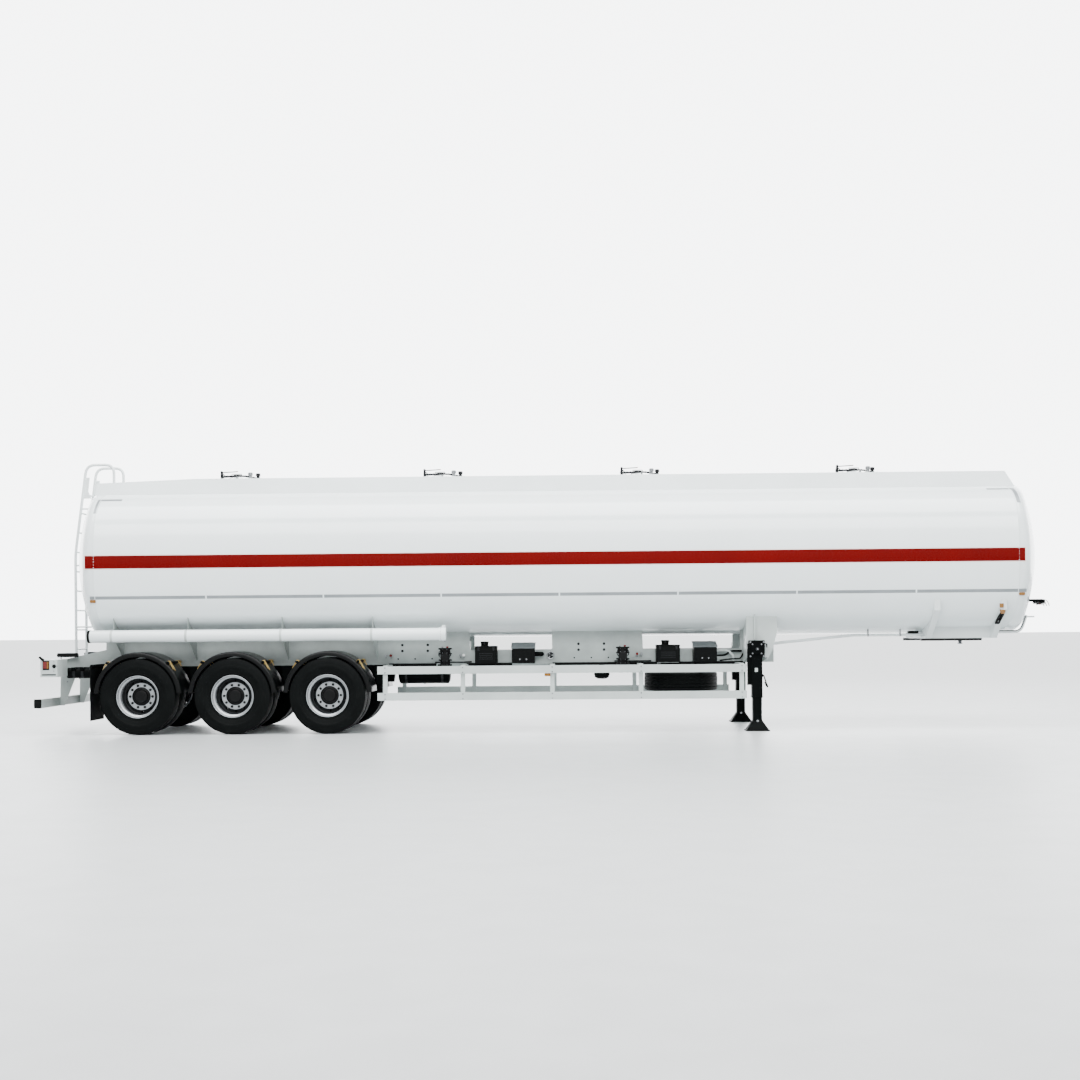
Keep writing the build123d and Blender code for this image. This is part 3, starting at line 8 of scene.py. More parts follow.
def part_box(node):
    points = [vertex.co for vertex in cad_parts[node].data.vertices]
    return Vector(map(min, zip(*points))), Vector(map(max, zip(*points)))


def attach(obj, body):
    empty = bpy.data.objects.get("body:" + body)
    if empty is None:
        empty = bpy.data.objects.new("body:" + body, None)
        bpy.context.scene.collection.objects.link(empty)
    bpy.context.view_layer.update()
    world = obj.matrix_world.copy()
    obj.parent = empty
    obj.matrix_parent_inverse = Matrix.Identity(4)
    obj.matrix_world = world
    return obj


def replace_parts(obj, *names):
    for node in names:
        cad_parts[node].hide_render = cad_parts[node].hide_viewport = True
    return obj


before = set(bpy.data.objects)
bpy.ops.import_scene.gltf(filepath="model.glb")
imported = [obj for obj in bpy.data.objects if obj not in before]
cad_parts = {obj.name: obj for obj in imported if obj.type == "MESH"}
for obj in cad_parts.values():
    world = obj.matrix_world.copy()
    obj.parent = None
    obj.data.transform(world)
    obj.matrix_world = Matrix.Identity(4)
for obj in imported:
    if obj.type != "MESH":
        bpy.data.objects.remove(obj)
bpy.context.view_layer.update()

# Positions are in metres: +X the front, +Y the left side, +Z up, ground at z = 0.


def linear(code):
    """Linear colour with alpha from an sRGB hex code."""
    channels = [int(code[i : i + 2], 16) / 255 for i in (0, 2, 4)]
    return [c / 12.92 if c <= 0.04045 else ((c + 0.055) / 1.055) ** 2.4 for c in channels] + [1.0]


def add_node(owner, kind, inputs=None, **settings):
    """Add a node to a material or world; inputs holds socket values or other nodes' outputs to link."""
    node = owner.node_tree.nodes.new(kind)
    for name, value in settings.items():
        setattr(node, name, value)
    for name, value in (inputs or {}).items():
        if isinstance(value, bpy.types.NodeSocket):
            owner.node_tree.links.new(value, node.inputs[name])
        else:
            node.inputs[name].default_value = value
    return node


def new_material(name):
    """Empty material with its shader and its object coordinates in metres."""
    material = bpy.data.materials.new(name)
    material.use_nodes = True
    shader = material.node_tree.nodes["Principled BSDF"]
    place = add_node(material, "ShaderNodeTexCoord").outputs["Object"]
    return material, shader, place


def finish(
    name, colour, worn, roughness, spread=0.1, metallic=0.0, coat=0.0, grain=40.0, bump=0.0, patch=1.5, shine=0.5
):
    """Painted, moulded or metal finish with patchy colour, uneven gloss and fine grain.

    Grain and patch are features in a metre, so a grain of 60 is 17 mm and 300 is 3 mm. Real orange peel,
    casting sand and powder coat are finer than 1 mm, and are drawn this coarse so that they show.
    """
    material, shader, place = new_material(name)
    link = material.node_tree.links.new
    cloudy = {"Vector": place, "Scale": patch, "Detail": 6.0, "Roughness": 0.6}
    patches = add_node(material, "ShaderNodeTexNoise", cloudy)
    fine = add_node(material, "ShaderNodeTexNoise", {"Vector": place, "Scale": grain, "Detail": 4.0})
    ramp = add_node(material, "ShaderNodeValToRGB", {"Fac": patches.outputs["Fac"]})
    for stop, position, code in zip(ramp.color_ramp.elements, (0.35, 0.75), (colour, worn)):
        stop.position, stop.color = position, linear(code)
    link(ramp.outputs["Color"], shader.inputs["Base Color"])
    uneven = {
        "Value": fine.outputs["Fac"], "From Min": 0.3, "From Max": 0.7,
        "To Min": max(0.02, roughness - spread), "To Max": roughness + spread,
    }
    gloss = add_node(material, "ShaderNodeMapRange", uneven)
    link(gloss.outputs["Result"], shader.inputs["Roughness"])
    shader.inputs["Metallic"].default_value = metallic
    shader.inputs["Specular IOR Level"].default_value = shine
    shader.inputs["Coat Weight"].default_value = coat
    shader.inputs["Coat Roughness"].default_value = 0.06
    if bump:
        grainy = {"Height": fine.outputs["Fac"], "Distance": bump, "Strength": 0.6}
        relief = add_node(material, "ShaderNodeBump", grainy)
        link(relief.outputs["Normal"], shader.inputs["Normal"])
    return material


# White two-pack paint on the tank: clean, glossy, with a faint orange-peel ripple.
tank_white = finish("gloss_white_tank_paint", "ECF4F5", "E8F0F1", 0.16, 0.04, coat=0.5, grain=140, bump=0.00005)
# The same white on the side guards, leg support and rear beam, duller in gloss and darkened as painted shade.
frame_white_painted_shade = finish("satin_white_frame_paint_painted_shade", "BAC2C0", "A8B0AE", 0.38, 0.1, coat=0.1, grain=60, bump=0.00008)
# The same white a little darker than the tank's, as light painted shade: coupler, ladder and pipes.
coupler_white_painted_shade = finish("white_frame_paint_light_painted_shade", "DFE5E5", "D2D8D8", 0.34, 0.08, coat=0.1, grain=60, bump=0.00008)
# The same white darkened as painted shade on the chassis and the underride bar, and satin white darkened a little as
# painted shade on the upright coamings.
chassis_white_painted_shade = finish("chassis_white_paint_painted_shade", "A0A8A6", "8E9694", 0.44, 0.1, grain=60, bump=0.0001, patch=4)
coaming_white_painted_shade = finish("satin_white_coaming_paint_painted_shade", "CDD5D6", "C4CCCD", 0.32, 0.05, coat=0.1, grain=60, bump=0.00005)
# Semi-gloss black enamel, sprayed on the axles, springs, legs and brackets: deep black with a soft shine.
frame_black = finish("semi_gloss_black_paint", "040606", "060909", 0.44, 0.1, grain=80, bump=0.0001, shine=0.035)
# Black powder coat with a fine texture on the drain boxes and toolboxes: duller than the enamel.
box_black = finish("textured_black_box_paint", "040606", "080A0A", 0.5, 0.1, grain=300, bump=0.0002, shine=0.08)
# Moulded black polypropylene mudguards: smooth, with a broad shine along the arch.
guard_plastic = finish("moulded_black_mudguard", "040505", "070909", 0.3, 0.08, grain=150, bump=0.0001, shine=0.14)
# Pressed black rubber of the flaps, hoses and strips: matt and slightly grey.
flap_rubber = finish("mud_flap_rubber", "060808", "0B0C0D", 0.6, 0.1, grain=200, bump=0.0002, shine=0.1)
# Silver paint on pressed steel rims, and dark grey painted shade over it on their deep dished discs.
wheel_silver = finish("silver_wheel_paint", "A9ADB0", "94989B", 0.34, 0.1, metallic=0.5, coat=0.2, grain=90)
dish_painted_shade = finish(
    "wheel_dish_painted_shade", "2E3133", "1D1F20", 0.5, 0.12, metallic=0.3, grain=90, patch=6, shine=0.2
)
# Sand-cast iron hubs and valve bodies in black paint: the grain of the mould shows.
cast_dark = finish("dark_cast_hub_paint", "070808", "0D0E0F", 0.42, 0.1, grain=150, bump=0.0003, shine=0.14)
# Zinc-plated fasteners, and the same plate passivated yellow on the mudguard clamps.
zinc = finish("bright_zinc_plate", "9DA0A2", "7E8284", 0.3, 0.12, metallic=1.0, grain=120)
yellow_zinc = finish("yellow_passivated_zinc", "C2A76C", "98834E", 0.36, 0.12, metallic=0.85, grain=120)
# Pressed aluminium lids, dulled by weather, and the toolboxes' lids in satin grey paint.
lid_metal = finish("pressed_aluminium_lid", "AEB2B5", "85898C", 0.28, 0.12, metallic=0.95, grain=90, bump=0.0001)
lid_grey = finish("grey_lid_paint", "5F6567", "525759", 0.4, 0.1, grain=90, shine=0.3)
# Turned steel of the kingpin, oiled dark steel of levers and straps, and grease on the rub strips.
bare_steel = finish("bare_machined_steel", "66696C", "525558", 0.38, 0.12, metallic=1.0, grain=200)
dark_steel = finish("oiled_dark_steel", "191B1D", "242628", 0.38, 0.12, metallic=0.7, grain=160, bump=0.0001)
grease = finish("greased_black_rub_strip", "070707", "101010", 0.3, 0.12, grain=60, bump=0.0002, shine=0.2)
# Blank white label film, and red moulded plastic of knobs and caps.
blank_white = finish("blank_white_label_film", "E9EAEA", "DFE0E0", 0.3, 0.05, grain=200)
signal_red = finish("red_knob_plastic", "6E0A07", "560806", 0.3, 0.08, grain=200, shine=0.3)


# Scales of Blender's wave pattern, which repeats every 2 pi / (20 x scale) metres.
RING_SCALE = 38.0  # a moulding ring every 8.3 mm of radius
TREAD_BAR_SCALE = 9.0  # a bar every 35 mm
LENS_RIB_SCALE = 60.0  # a rib every 5.2 mm


def ringed(name, axis):
    """Black tyre rubber with fine moulding rings about its axle and dusty patches."""
    material = finish(name, "060808", "0B0D0D", 0.55, 0.1, grain=220, bump=0.0002, patch=5, shine=0.05)
    shader = material.node_tree.nodes["Principled BSDF"]
    place = add_node(material, "ShaderNodeTexCoord").outputs["Object"]
    rings = add_node(
        material,
        "ShaderNodeTexWave",
        {"Vector": place, "Scale": RING_SCALE, "Distortion": 0.0},
        wave_type="RINGS",
        rings_direction=axis,
    )
    grain = shader.inputs["Normal"].links[0].from_socket
    relief = add_node(
        material, "ShaderNodeBump", {"Height": rings.outputs["Fac"], "Normal": grain, "Distance": 0.0006}
    )
    material.node_tree.links.new(relief.outputs["Normal"], shader.inputs["Normal"])
    return material


tyre_rubber = ringed("tyre_rubber", "Y")
spare_rubber = ringed("spare_tyre_rubber", "Z")


def treaded(name, colour, worn):
    """Raised anti-slip bars pressed into a metal sheet, in two crossing directions."""
    material = finish(name, colour, worn, 0.36, 0.12, metallic=0.6, grain=60)
    shader = material.node_tree.nodes["Principled BSDF"]
    place = add_node(material, "ShaderNodeTexCoord").outputs["Object"]
    heights = []
    for angle in (0.25, 0.75):
        lean = add_node(material, "ShaderNodeMapping", {"Vector": place, "Rotation": (0.0, 0.0, angle * math.pi)})
        leaning = {"Vector": lean.outputs["Vector"], "Scale": TREAD_BAR_SCALE}
        heights.append(add_node(material, "ShaderNodeTexWave", leaning).outputs["Fac"])
    crossed = add_node(material, "ShaderNodeMath", {0: heights[0], 1: heights[1]}, operation="MULTIPLY")
    relief = add_node(material, "ShaderNodeBump", {"Height": crossed.outputs["Value"], "Distance": 0.004})
    material.node_tree.links.new(relief.outputs["Normal"], shader.inputs["Normal"])
    return material


tread_plate = treaded("aluminium_tread_plate", "A9ACAD", "8C9092")


def lens(name, colour, deep):
    """Ribbed translucent lamp lens over a bright reflector."""
    material, shader, place = new_material(name)
    link = material.node_tree.links.new
    across = {"Vector": place, "Scale": LENS_RIB_SCALE, "Distortion": 0.0}
    ribs = add_node(material, "ShaderNodeTexWave", across, bands_direction="X")
    mix = add_node(material, "ShaderNodeMix", {"Factor": ribs.outputs["Fac"]}, data_type="RGBA")
    mix.inputs["A"].default_value = linear(colour)
    mix.inputs["B"].default_value = linear(deep)
    link(mix.outputs["Result"], shader.inputs["Base Color"])
    relief = add_node(material, "ShaderNodeBump", {"Height": ribs.outputs["Fac"], "Distance": 0.0008})
    link(relief.outputs["Normal"], shader.inputs["Normal"])
    shader.inputs["Roughness"].default_value = 0.12
    shader.inputs["Coat Weight"].default_value = 1.0
    return material


amber_lens = lens("amber_lens", "94600F", "523408")
red_lens = lens("red_lens", "7A0604", "3E0302")

NODE_FINISHES = (  # finish, and how the names of its nodes begin
    (tank_white, ("tank", "hose_tube", "tube_cap")),
    (coaming_white_painted_shade, ("coamings",)),
    (chassis_white_painted_shade, ("chassis", "gussets", "underride_guard")),
    (frame_white_painted_shade, ("leg_support", "side_guard", "rear_beam")),
    (coupler_white_painted_shade, ("coupler", "ladder", "conduit")),
    (guard_plastic, ("mudguards",)),
    (frame_black, ("landing_gear", "axles", "suspension", "air_tanks", "couplings", "spare_carrier")),
    (box_black, ("drain_boxes", "toolboxes")),
    (lid_grey, ("toolbox_lid",)),
    (lid_metal, ("manhole",)),
    (cast_dark, ("valves",)),
    (bare_steel, ("kingpin",)),
    (tread_plate, ("walkway",)),
    (grease, ("rub_strips",)),
    (tyre_rubber, ("tyres",)),
    (spare_rubber, ("spare_tyre",)),
    (wheel_silver, ("wheel", "spare_rim")),
    (red_lens, ("rear_lamps",)),
    (amber_lens, ("side_lamps",)),
)
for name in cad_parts:
    for material, beginnings in NODE_FINISHES:
        if name.startswith(beginnings):
            for material_slot in bpy.data.objects[name].material_slots:
                material_slot.material = material


def add_piece(name, mesh, material, body, at=(0, 0, 0), turn_z=0.0):
    """Put a mesh in the scene as a piece that rides on a body."""
    mesh.materials.clear()
    mesh.materials.append(material)
    piece = bpy.data.objects.new(name, mesh)
    piece.location = at
    piece.rotation_euler = (0, 0, turn_z)
    bpy.context.scene.collection.objects.link(piece)
    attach(piece, body)
    return piece


SHARP_DEGREES = 32


def mesh_from(form, name, sharp_degrees=SHARP_DEGREES):
    """Mesh from a bmesh form, smooth apart from its sharp edges."""
    bmesh.ops.remove_doubles(form, verts=form.verts, dist=1e-6)
    bmesh.ops.recalc_face_normals(form, faces=form.faces)
    mesh = bpy.data.meshes.new(name)
    form.to_mesh(mesh)
    form.free()
    mesh.shade_smooth()
    mesh.set_sharp_from_angle(angle=math.radians(sharp_degrees))
    return mesh


def skin(form, rings, closed=True):
    """Faces between neighbouring rings of the same number of points."""
    faces = []
    for one, two in zip(rings, rings[1:]):
        count = len(one)
        for corner in range(count if closed else count - 1):
            other = (corner + 1) % count
            faces.append(form.faces.new((one[corner], one[other], two[other], two[corner])))
    return faces


def circle(count, radius, start=0.0):
    """Points evenly round a circle, the first of them a share of a step on from the axis."""
    angles = [2 * math.pi * (step + start) / count for step in range(count)]
    return [(radius * math.cos(angle), radius * math.sin(angle)) for angle in angles]


def lathe(form, profile, segments, matrix=None, closed=True):
    """Turn a profile of (along Y, radius, zigzag) points about the Y axis."""
    rings = []
    for step, (across, up) in enumerate(circle(segments, 1.0)):
        side = 1 if (step // 2) % 2 else -1
        ring = []
        for along, radius, zigzag in profile:
            at = Vector((radius * across, along + side * zigzag, radius * up))
            ring.append(form.verts.new(matrix @ at if matrix else at))
        rings.append(ring)
    skin(form, rings + rings[:1], closed)


def plain(points):
    """Profile points without zigzag."""
    return [(along, radius, 0.0) for along, radius in points]


def prism(form, sides, radius, low, high, at, phase=0.0):
    """Upright prism along Y between two depths, with a small chamfer on its outer end."""
    rings = []
    for depth, size in ((low, radius), (high - radius * 0.12, radius), (high, radius * 0.86)):
        ring = []
        for step in range(sides):
            angle = phase + 2 * math.pi * step / sides
            corner = (at[0] + size * math.cos(angle), depth, at[1] + size * math.sin(angle))
            ring.append(form.verts.new(corner))
        rings.append(ring)
    skin(form, rings)
    form.faces.new(rings[-1])
    form.faces.new(rings[0][::-1])


def slab(form, outline, axis, low, high, bevel=0.0015):
    """Plate of a closed outline with rounded edges, thick along one axis (0, 1 or 2) from low to high."""
    rings = []
    for depth in (low, high):
        ring = []
        for one, two in outline:
            corner = [one, two]
            corner.insert(axis, depth)
            ring.append(form.verts.new(corner))
        rings.append(ring)
    faces = [form.faces.new(rings[0]), form.faces.new(rings[1][::-1])] + skin(form, rings)
    edges = list({edge for face in faces for edge in face.edges})
    bmesh.ops.bevel(form, geom=edges, offset=bevel, segments=2, affect="EDGES", clamp_overlap=True)


def block(form, low, high, bevel=0.002):
    """Box between two corners with its edges rounded."""
    outline = ((low[0], low[1]), (high[0], low[1]), (high[0], high[1]), (low[0], high[1]))
    slab(form, outline, 2, low[2], high[2], bevel)


def side_block(form, side, near_y, far_y, low, high, bevel=0.002):
    """Box on one side between two distances from the middle; low and high are (x, z) corners."""
    low_y, high_y = sorted((side * near_y, side * far_y))
    block(form, (low[0], low_y, low[1]), (high[0], high_y, high[1]), bevel)


def turned(form, profile, at=(0, 0, 0), facing=(0, 0, 1), sides=32):
    """Turned part from (distance, radius) points, set at a point and facing a direction."""
    aim = Vector(facing).to_track_quat("Y", "Z").to_matrix().to_4x4()
    lathe(form, plain(profile), sides, Matrix.Translation(at) @ aim, closed=False)


def hoop(form, at, half_width, inner_r, outer_r, sides=48):
    """Strap round something that runs along X."""
    profile = ((-half_width, inner_r), (-half_width, outer_r), (half_width, outer_r), (half_width, inner_r))
    turned(form, profile, at, (1, 0, 0), sides)


def rod(form, start, end, radius, sides=14):
    """Round bar between two points with chamfered ends, or a nut when it has six sides."""
    run = Vector(end) - Vector(start)
    edge = min(0.2 * radius, 0.3 * run.length)
    profile = (
        (0, 0),
        (0, radius - edge),
        (edge, radius),
        (run.length - edge, radius),
        (run.length, radius - edge),
        (run.length, 0),
    )
    turned(form, profile, start, run, sides)


def bolt(form, at, facing, radius=0.011):
    """Hexagon head on a washer, facing a direction."""
    at, facing = Vector(at), Vector(facing).normalized()
    rod(form, at, at + 0.25 * radius * facing, 1.45 * radius, 16)
    rod(form, at + 0.2 * radius * facing, at + 0.85 * radius * facing, radius, 6)


def side_bolts(form, side, face_y, spots, radius):
    """Bolts facing outward on one side, at (x, z) places and a distance from the middle."""
    for x, z in spots:
        bolt(form, (x, side * face_y, z), (0, side, 0), radius)


def rounded(points, bend, steps=6):
    """Route through points with each corner rounded to a bend size."""
    route = [Vector(points[0])]
    for before, corner, after in zip(points, points[1:], points[2:]):
        before, corner, after = Vector(before), Vector(corner), Vector(after)
        back, ahead = before - corner, after - corner
        size = min(bend, 0.45 * back.length, 0.45 * ahead.length)
        start, end = corner + size * back.normalized(), corner + size * ahead.normalized()
        for step in range(steps + 1):
            share = step / steps
            route.append((1 - share) ** 2 * start + 2 * share * (1 - share) * corner + share**2 * end)
    return route + [Vector(points[-1])]


def bar(half_width, low, high):
    """Flat section of (across, up) points for a sweep."""
    return [(-half_width, low), (half_width, low), (half_width, high), (-half_width, high)]


def sweep(form, route, section, side=None):
    """Section of (across, up) points carried along a route, with closed ends."""
    rings = []
    across = Vector(side) if side else (route[1] - route[0]).orthogonal().normalized()
    for number, point in enumerate(route):
        run = (route[min(number + 1, len(route) - 1)] - route[max(number - 1, 0)]).normalized()
        across = (across - across.dot(run) * run).normalized()
        up = run.cross(across)
        rings.append([form.verts.new(point + one * across + two * up) for one, two in section])
    skin(form, rings)
    form.faces.new(rings[0])
    form.faces.new(rings[-1][::-1])


def pipe(form, points, radius, bend=0.05, sides=12):
    """Round pipe through points with rounded corners."""
    sweep(form, rounded(points, bend), circle(sides, radius))


class Kit(dict):
    """Forms for one set of pieces, one for each material."""

    def __missing__(self, material):
        self[material] = bmesh.new()
        return self[material]

    def forms(self, *materials):
        """Forms for the materials named, in their order."""
        return [self[material] for material in materials]


def place(kit, spots):
    made = {}
    for material, form in kit.items():
        mesh = mesh_from(form, f"{spots[0][0]}_{material.name}")
        for name, body, at in spots:
            made[name, material.name] = add_piece(f"{name}_{material.name}", mesh, material, body, at)
    return made


def fit(kit, name, body="frame"):
    return place(kit, [(name, body, (0, 0, 0))])


# Tyres: rounded sidewalls with a rim protector, and ribs between zigzag grooves.
TYRE_R = 0.525
TREAD_HALF_W = 0.118
GROOVES = (-0.074, -0.026, 0.026, 0.074)
GROOVE_HALF_W = 0.0052
GROOVE_DEPTH = 0.015
GROOVE_ZIGZAG = 0.0022
SIDEWALL = (
    (0.1025, 0.2885), (0.1045, 0.303), (0.112, 0.311), (0.1175, 0.314), (0.118, 0.32), (0.1165, 0.325),
    (0.124, 0.345), (0.133, 0.372), (0.1372, 0.392), (0.1384, 0.3935), (0.1392, 0.405), (0.1396, 0.425),
    (0.1385, 0.428), (0.1378, 0.445), (0.134, 0.47), (0.1285, 0.492), (0.1245, 0.505), (0.1215, 0.514),
)
TYRE_SEGMENTS = 112


def tread_r(along):
    """Crowned tread radius at a distance from the tyre's middle."""
    return TYRE_R - 0.0045 * (along / TREAD_HALF_W) ** 2


tyre_profile = [(-along, radius, 0.0) for along, radius in SIDEWALL]
tyre_profile.append((-TREAD_HALF_W, tread_r(TREAD_HALF_W), 0.0))
for groove in GROOVES:
    for along, depth in (
        (groove - GROOVE_HALF_W, 0.0),
        (groove - 0.6 * GROOVE_HALF_W, GROOVE_DEPTH),
        (groove + 0.6 * GROOVE_HALF_W, GROOVE_DEPTH),
        (groove + GROOVE_HALF_W, 0.0),
    ):
        tyre_profile.append((along, tread_r(along) - depth, GROOVE_ZIGZAG))
tyre_profile.append((TREAD_HALF_W, tread_r(TREAD_HALF_W), 0.0))
tyre_profile.extend((along, radius, 0.0) for along, radius in reversed(SIDEWALL))

TWIN_HALF_PITCH = 0.17
twin_form = bmesh.new()
for side in (-1, 1):
    lathe(twin_form, tyre_profile, TYRE_SEGMENTS, Matrix.Translation((0, side * TWIN_HALF_PITCH, 0)))
twin_mesh = mesh_from(twin_form, "twin_tyres")
single_form = bmesh.new()
lathe(single_form, tyre_profile, TYRE_SEGMENTS, Matrix.Rotation(math.pi / 2, 4, "X"))
single_mesh = mesh_from(single_form, "single_tyre")

# Wheels: well-base rims, dished discs with hand holes, ten nuts and a dark hub.
RIM_PROFILE = (  # outward from the twins' middle plane, radius
    (0.285, 0.2865), (0.2835, 0.2918), (0.279, 0.2926), (0.2745, 0.288), (0.2725, 0.2845), (0.262, 0.2838),
    (0.236, 0.2825), (0.221, 0.262), (0.128, 0.262), (0.112, 0.282), (0.068, 0.2838), (0.0645, 0.288),
    (0.06, 0.2926), (0.056, 0.2926), (0.0555, 0.279), (0.106, 0.275), (0.124, 0.2555), (0.224, 0.2555),
    (0.24, 0.275), (0.268, 0.2785), (0.279, 0.281),
)
DISC_PROFILE = (
    (0.074, 0.124), (0.074, 0.178), (0.066, 0.186), (0.04, 0.236), (0.044, 0.248), (0.06, 0.2545),
    (0.15, 0.2552), (0.15, 0.2515), (0.066, 0.249), (0.054, 0.243), (0.052, 0.236), (0.08, 0.19),
    (0.088, 0.181), (0.088, 0.124),
)
HUB_PROFILE = (
    (-0.3, 0.0), (-0.3, 0.135), (0.0738, 0.135), (0.0738, 0.1235), (0.0908, 0.1235), (0.0908, 0.1285),
    (0.097, 0.1275), (0.104, 0.116), (0.108, 0.101), (0.126, 0.096), (0.134, 0.088), (0.138, 0.074),
    (0.139, 0.04), (0.137, 0.0),
)
DRUM_PROFILE = (
    (-0.3, 0.13), (-0.3, 0.205), (-0.27, 0.205), (-0.266, 0.198), (-0.15, 0.198), (-0.13, 0.17),
    (-0.13, 0.13),
)
NUT_RING_PROFILE = ((0.0882, 0.129), (0.0882, 0.1885), (0.0895, 0.1885), (0.0905, 0.187), (0.0905, 0.129))
HAND_HOLES = 10
HAND_HOLE_R = 0.019
HAND_HOLE_CIRCLE_R = 0.214
NUTS = 10
NUT_CIRCLE_R = 0.155
NUT_R = 0.0165
HUB_BOLTS = 8
HUB_BOLT_CIRCLE_R = 0.103
HUB_BOLT_R = 0.007
WHEEL_SEGMENTS = 96


def cut(mesh, cutter_form, name):
    """Mesh with the cutter's form taken out."""
    cutter = bpy.data.objects.new(name + "_cutter", mesh_from(cutter_form, name + "_cutter"))
    body = bpy.data.objects.new(name + "_whole", mesh)
    for part in (cutter, body):
        bpy.context.scene.collection.objects.link(part)
    modifier = body.modifiers.new("holes", "BOOLEAN")
    modifier.object = cutter
    modifier.operation = "DIFFERENCE"
    modifier.solver = "EXACT"
    shape = body.evaluated_get(bpy.context.evaluated_depsgraph_get())
    result = bpy.data.meshes.new_from_object(shape)
    for part in (cutter, body):
        bpy.data.objects.remove(part)
    result.shade_smooth()
    result.set_sharp_from_angle(angle=math.radians(SHARP_DEGREES))
    return result


disc_form = bmesh.new()
lathe(disc_form, plain(DISC_PROFILE), WHEEL_SEGMENTS)
cutter_form = bmesh.new()
for centre in circle(HAND_HOLES, HAND_HOLE_CIRCLE_R, 0.5):
    prism(cutter_form, 20, HAND_HOLE_R, -0.05, 0.2, centre)
disc_mesh = cut(mesh_from(disc_form, "disc"), cutter_form, "disc")


def wheel_form(discs):
    """Rims and nut rings facing each way given, as 1 for outward and -1 for inward."""
    form = bmesh.new()
    for side in discs:
        flip = Matrix.Diagonal((1, side, 1, 1))
        lathe(form, plain(RIM_PROFILE), WHEEL_SEGMENTS, flip)
        lathe(form, plain(NUT_RING_PROFILE), WHEEL_SEGMENTS, flip)
    return form


def dish_form(discs):
    """Pierced discs facing each way given, as 1 for outward and -1 for inward."""
    form = bmesh.new()
    for side in discs:
        flip = Matrix.Diagonal((1, side, 1, 1))
        before = len(form.verts)
        form.from_mesh(disc_mesh)
        form.verts.ensure_lookup_table()
        bmesh.ops.transform(form, matrix=flip, verts=form.verts[before:])
    return form


twin_wheel_mesh = mesh_from(wheel_form((1, -1)), "twin_wheel")
twin_dish_mesh = mesh_from(dish_form((1, -1)), "twin_dish")

nut_form = bmesh.new()
for nut, centre in enumerate(circle(NUTS, NUT_CIRCLE_R)):
    prism(nut_form, 24, NUT_R * 1.15, 0.087, 0.092, centre)
    prism(nut_form, 6, NUT_R, 0.091, 0.112, centre, 2 * math.pi * nut / NUTS)
    prism(nut_form, 12, NUT_R * 0.55, 0.11, 0.124, centre)
nut_mesh = mesh_from(nut_form, "wheel_nuts")

hub_form = bmesh.new()
lathe(hub_form, plain(HUB_PROFILE), 64, closed=False)
lathe(hub_form, plain(DRUM_PROFILE), 64)
for centre in circle(HUB_BOLTS, HUB_BOLT_CIRCLE_R):
    prism(hub_form, 6, HUB_BOLT_R, 0.102, 0.11, centre)
hub_mesh = mesh_from(hub_form, "hub_and_drum")

OUTWARD = {"right": math.pi, "left": 0.0}
for number in (1, 2, 3):
    for side, half_turn in OUTWARD.items():
        low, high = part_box(f"tyres_{number}_{side}")
        middle = (Vector(low) + Vector(high)) / 2
        body = f"axle_{number}_{side}_wheels"
        tyres = add_piece(f"tyres_{number}_{side}_tread", twin_mesh, tyre_rubber, body, middle, half_turn)
        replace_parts(tyres, f"tyres_{number}_{side}")
        discs = add_piece(f"wheel_{number}_{side}_discs", twin_wheel_mesh, wheel_silver, body, middle, half_turn)
        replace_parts(discs, f"wheel_{number}_{side}")
        add_piece(f"wheel_{number}_{side}_dishes", twin_dish_mesh, dish_painted_shade, body, middle, half_turn)
        add_piece(f"wheel_{number}_{side}_nuts", nut_mesh, cast_dark, body, middle, half_turn)
        add_piece(f"wheel_{number}_{side}_hub", hub_mesh, cast_dark, body, middle, half_turn)

low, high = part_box("spare_tyre")
spare = add_piece("spare_tyre_tread", single_mesh, spare_rubber, "frame", (Vector(low) + Vector(high)) / 2)
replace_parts(spare, "spare_tyre")
upright = Matrix.Rotation(math.pi / 2, 4, "X")
spare_form = wheel_form((1,))
bmesh.ops.transform(spare_form, matrix=upright, verts=spare_form.verts)
spare_foot = (Vector(low) + Vector(high)) / 2 - Vector((0, 0, TWIN_HALF_PITCH))
spare_wheel = add_piece("spare_wheel_disc", mesh_from(spare_form, "spare_wheel"), wheel_silver, "frame", spare_foot)
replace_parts(spare_wheel, "spare_rim")
spare_dish = dish_form((1,))
bmesh.ops.transform(spare_dish, matrix=upright, verts=spare_dish.verts)
add_piece("spare_wheel_dish", mesh_from(spare_dish, "spare_dish"), dish_painted_shade, "frame", spare_foot)

# Tank: the section's crown, flank and shoulder arcs, and dished ends with a knuckle.
low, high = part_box("tank")
TANK_REAR, TANK_FRONT = low[0], high[0]
TANK_HALF_W = high[1]
TANK_HALF_H = (high[2] - low[2]) / 2
TANK_AXIS_Z = (high[2] + low[2]) / 2
CROWN_R = 2.2
FLANK_R = 2.3
SHOULDER_R = 0.62
DISH_R = 2.5
KNUCKLE_R = 0.15
SEAM_IN = 0.47

crown_drop = CROWN_R - TANK_HALF_H
flank_inset = FLANK_R - TANK_HALF_W
spread = math.hypot(flank_inset, crown_drop)
reach = ((CROWN_R - SHOULDER_R) ** 2 - (FLANK_R - SHOULDER_R) ** 2 + spread**2) / (2 * spread)
rise = math.sqrt((CROWN_R - SHOULDER_R) ** 2 - reach**2)
shoulder_y = (rise * crown_drop - reach * flank_inset) / spread
shoulder_z = (reach * crown_drop + rise * flank_inset) / spread - crown_drop
FOLD_ANGLE = math.atan2(shoulder_z + crown_drop, shoulder_y)
WAIST_ANGLE = math.atan2(shoulder_z, shoulder_y + flank_inset)


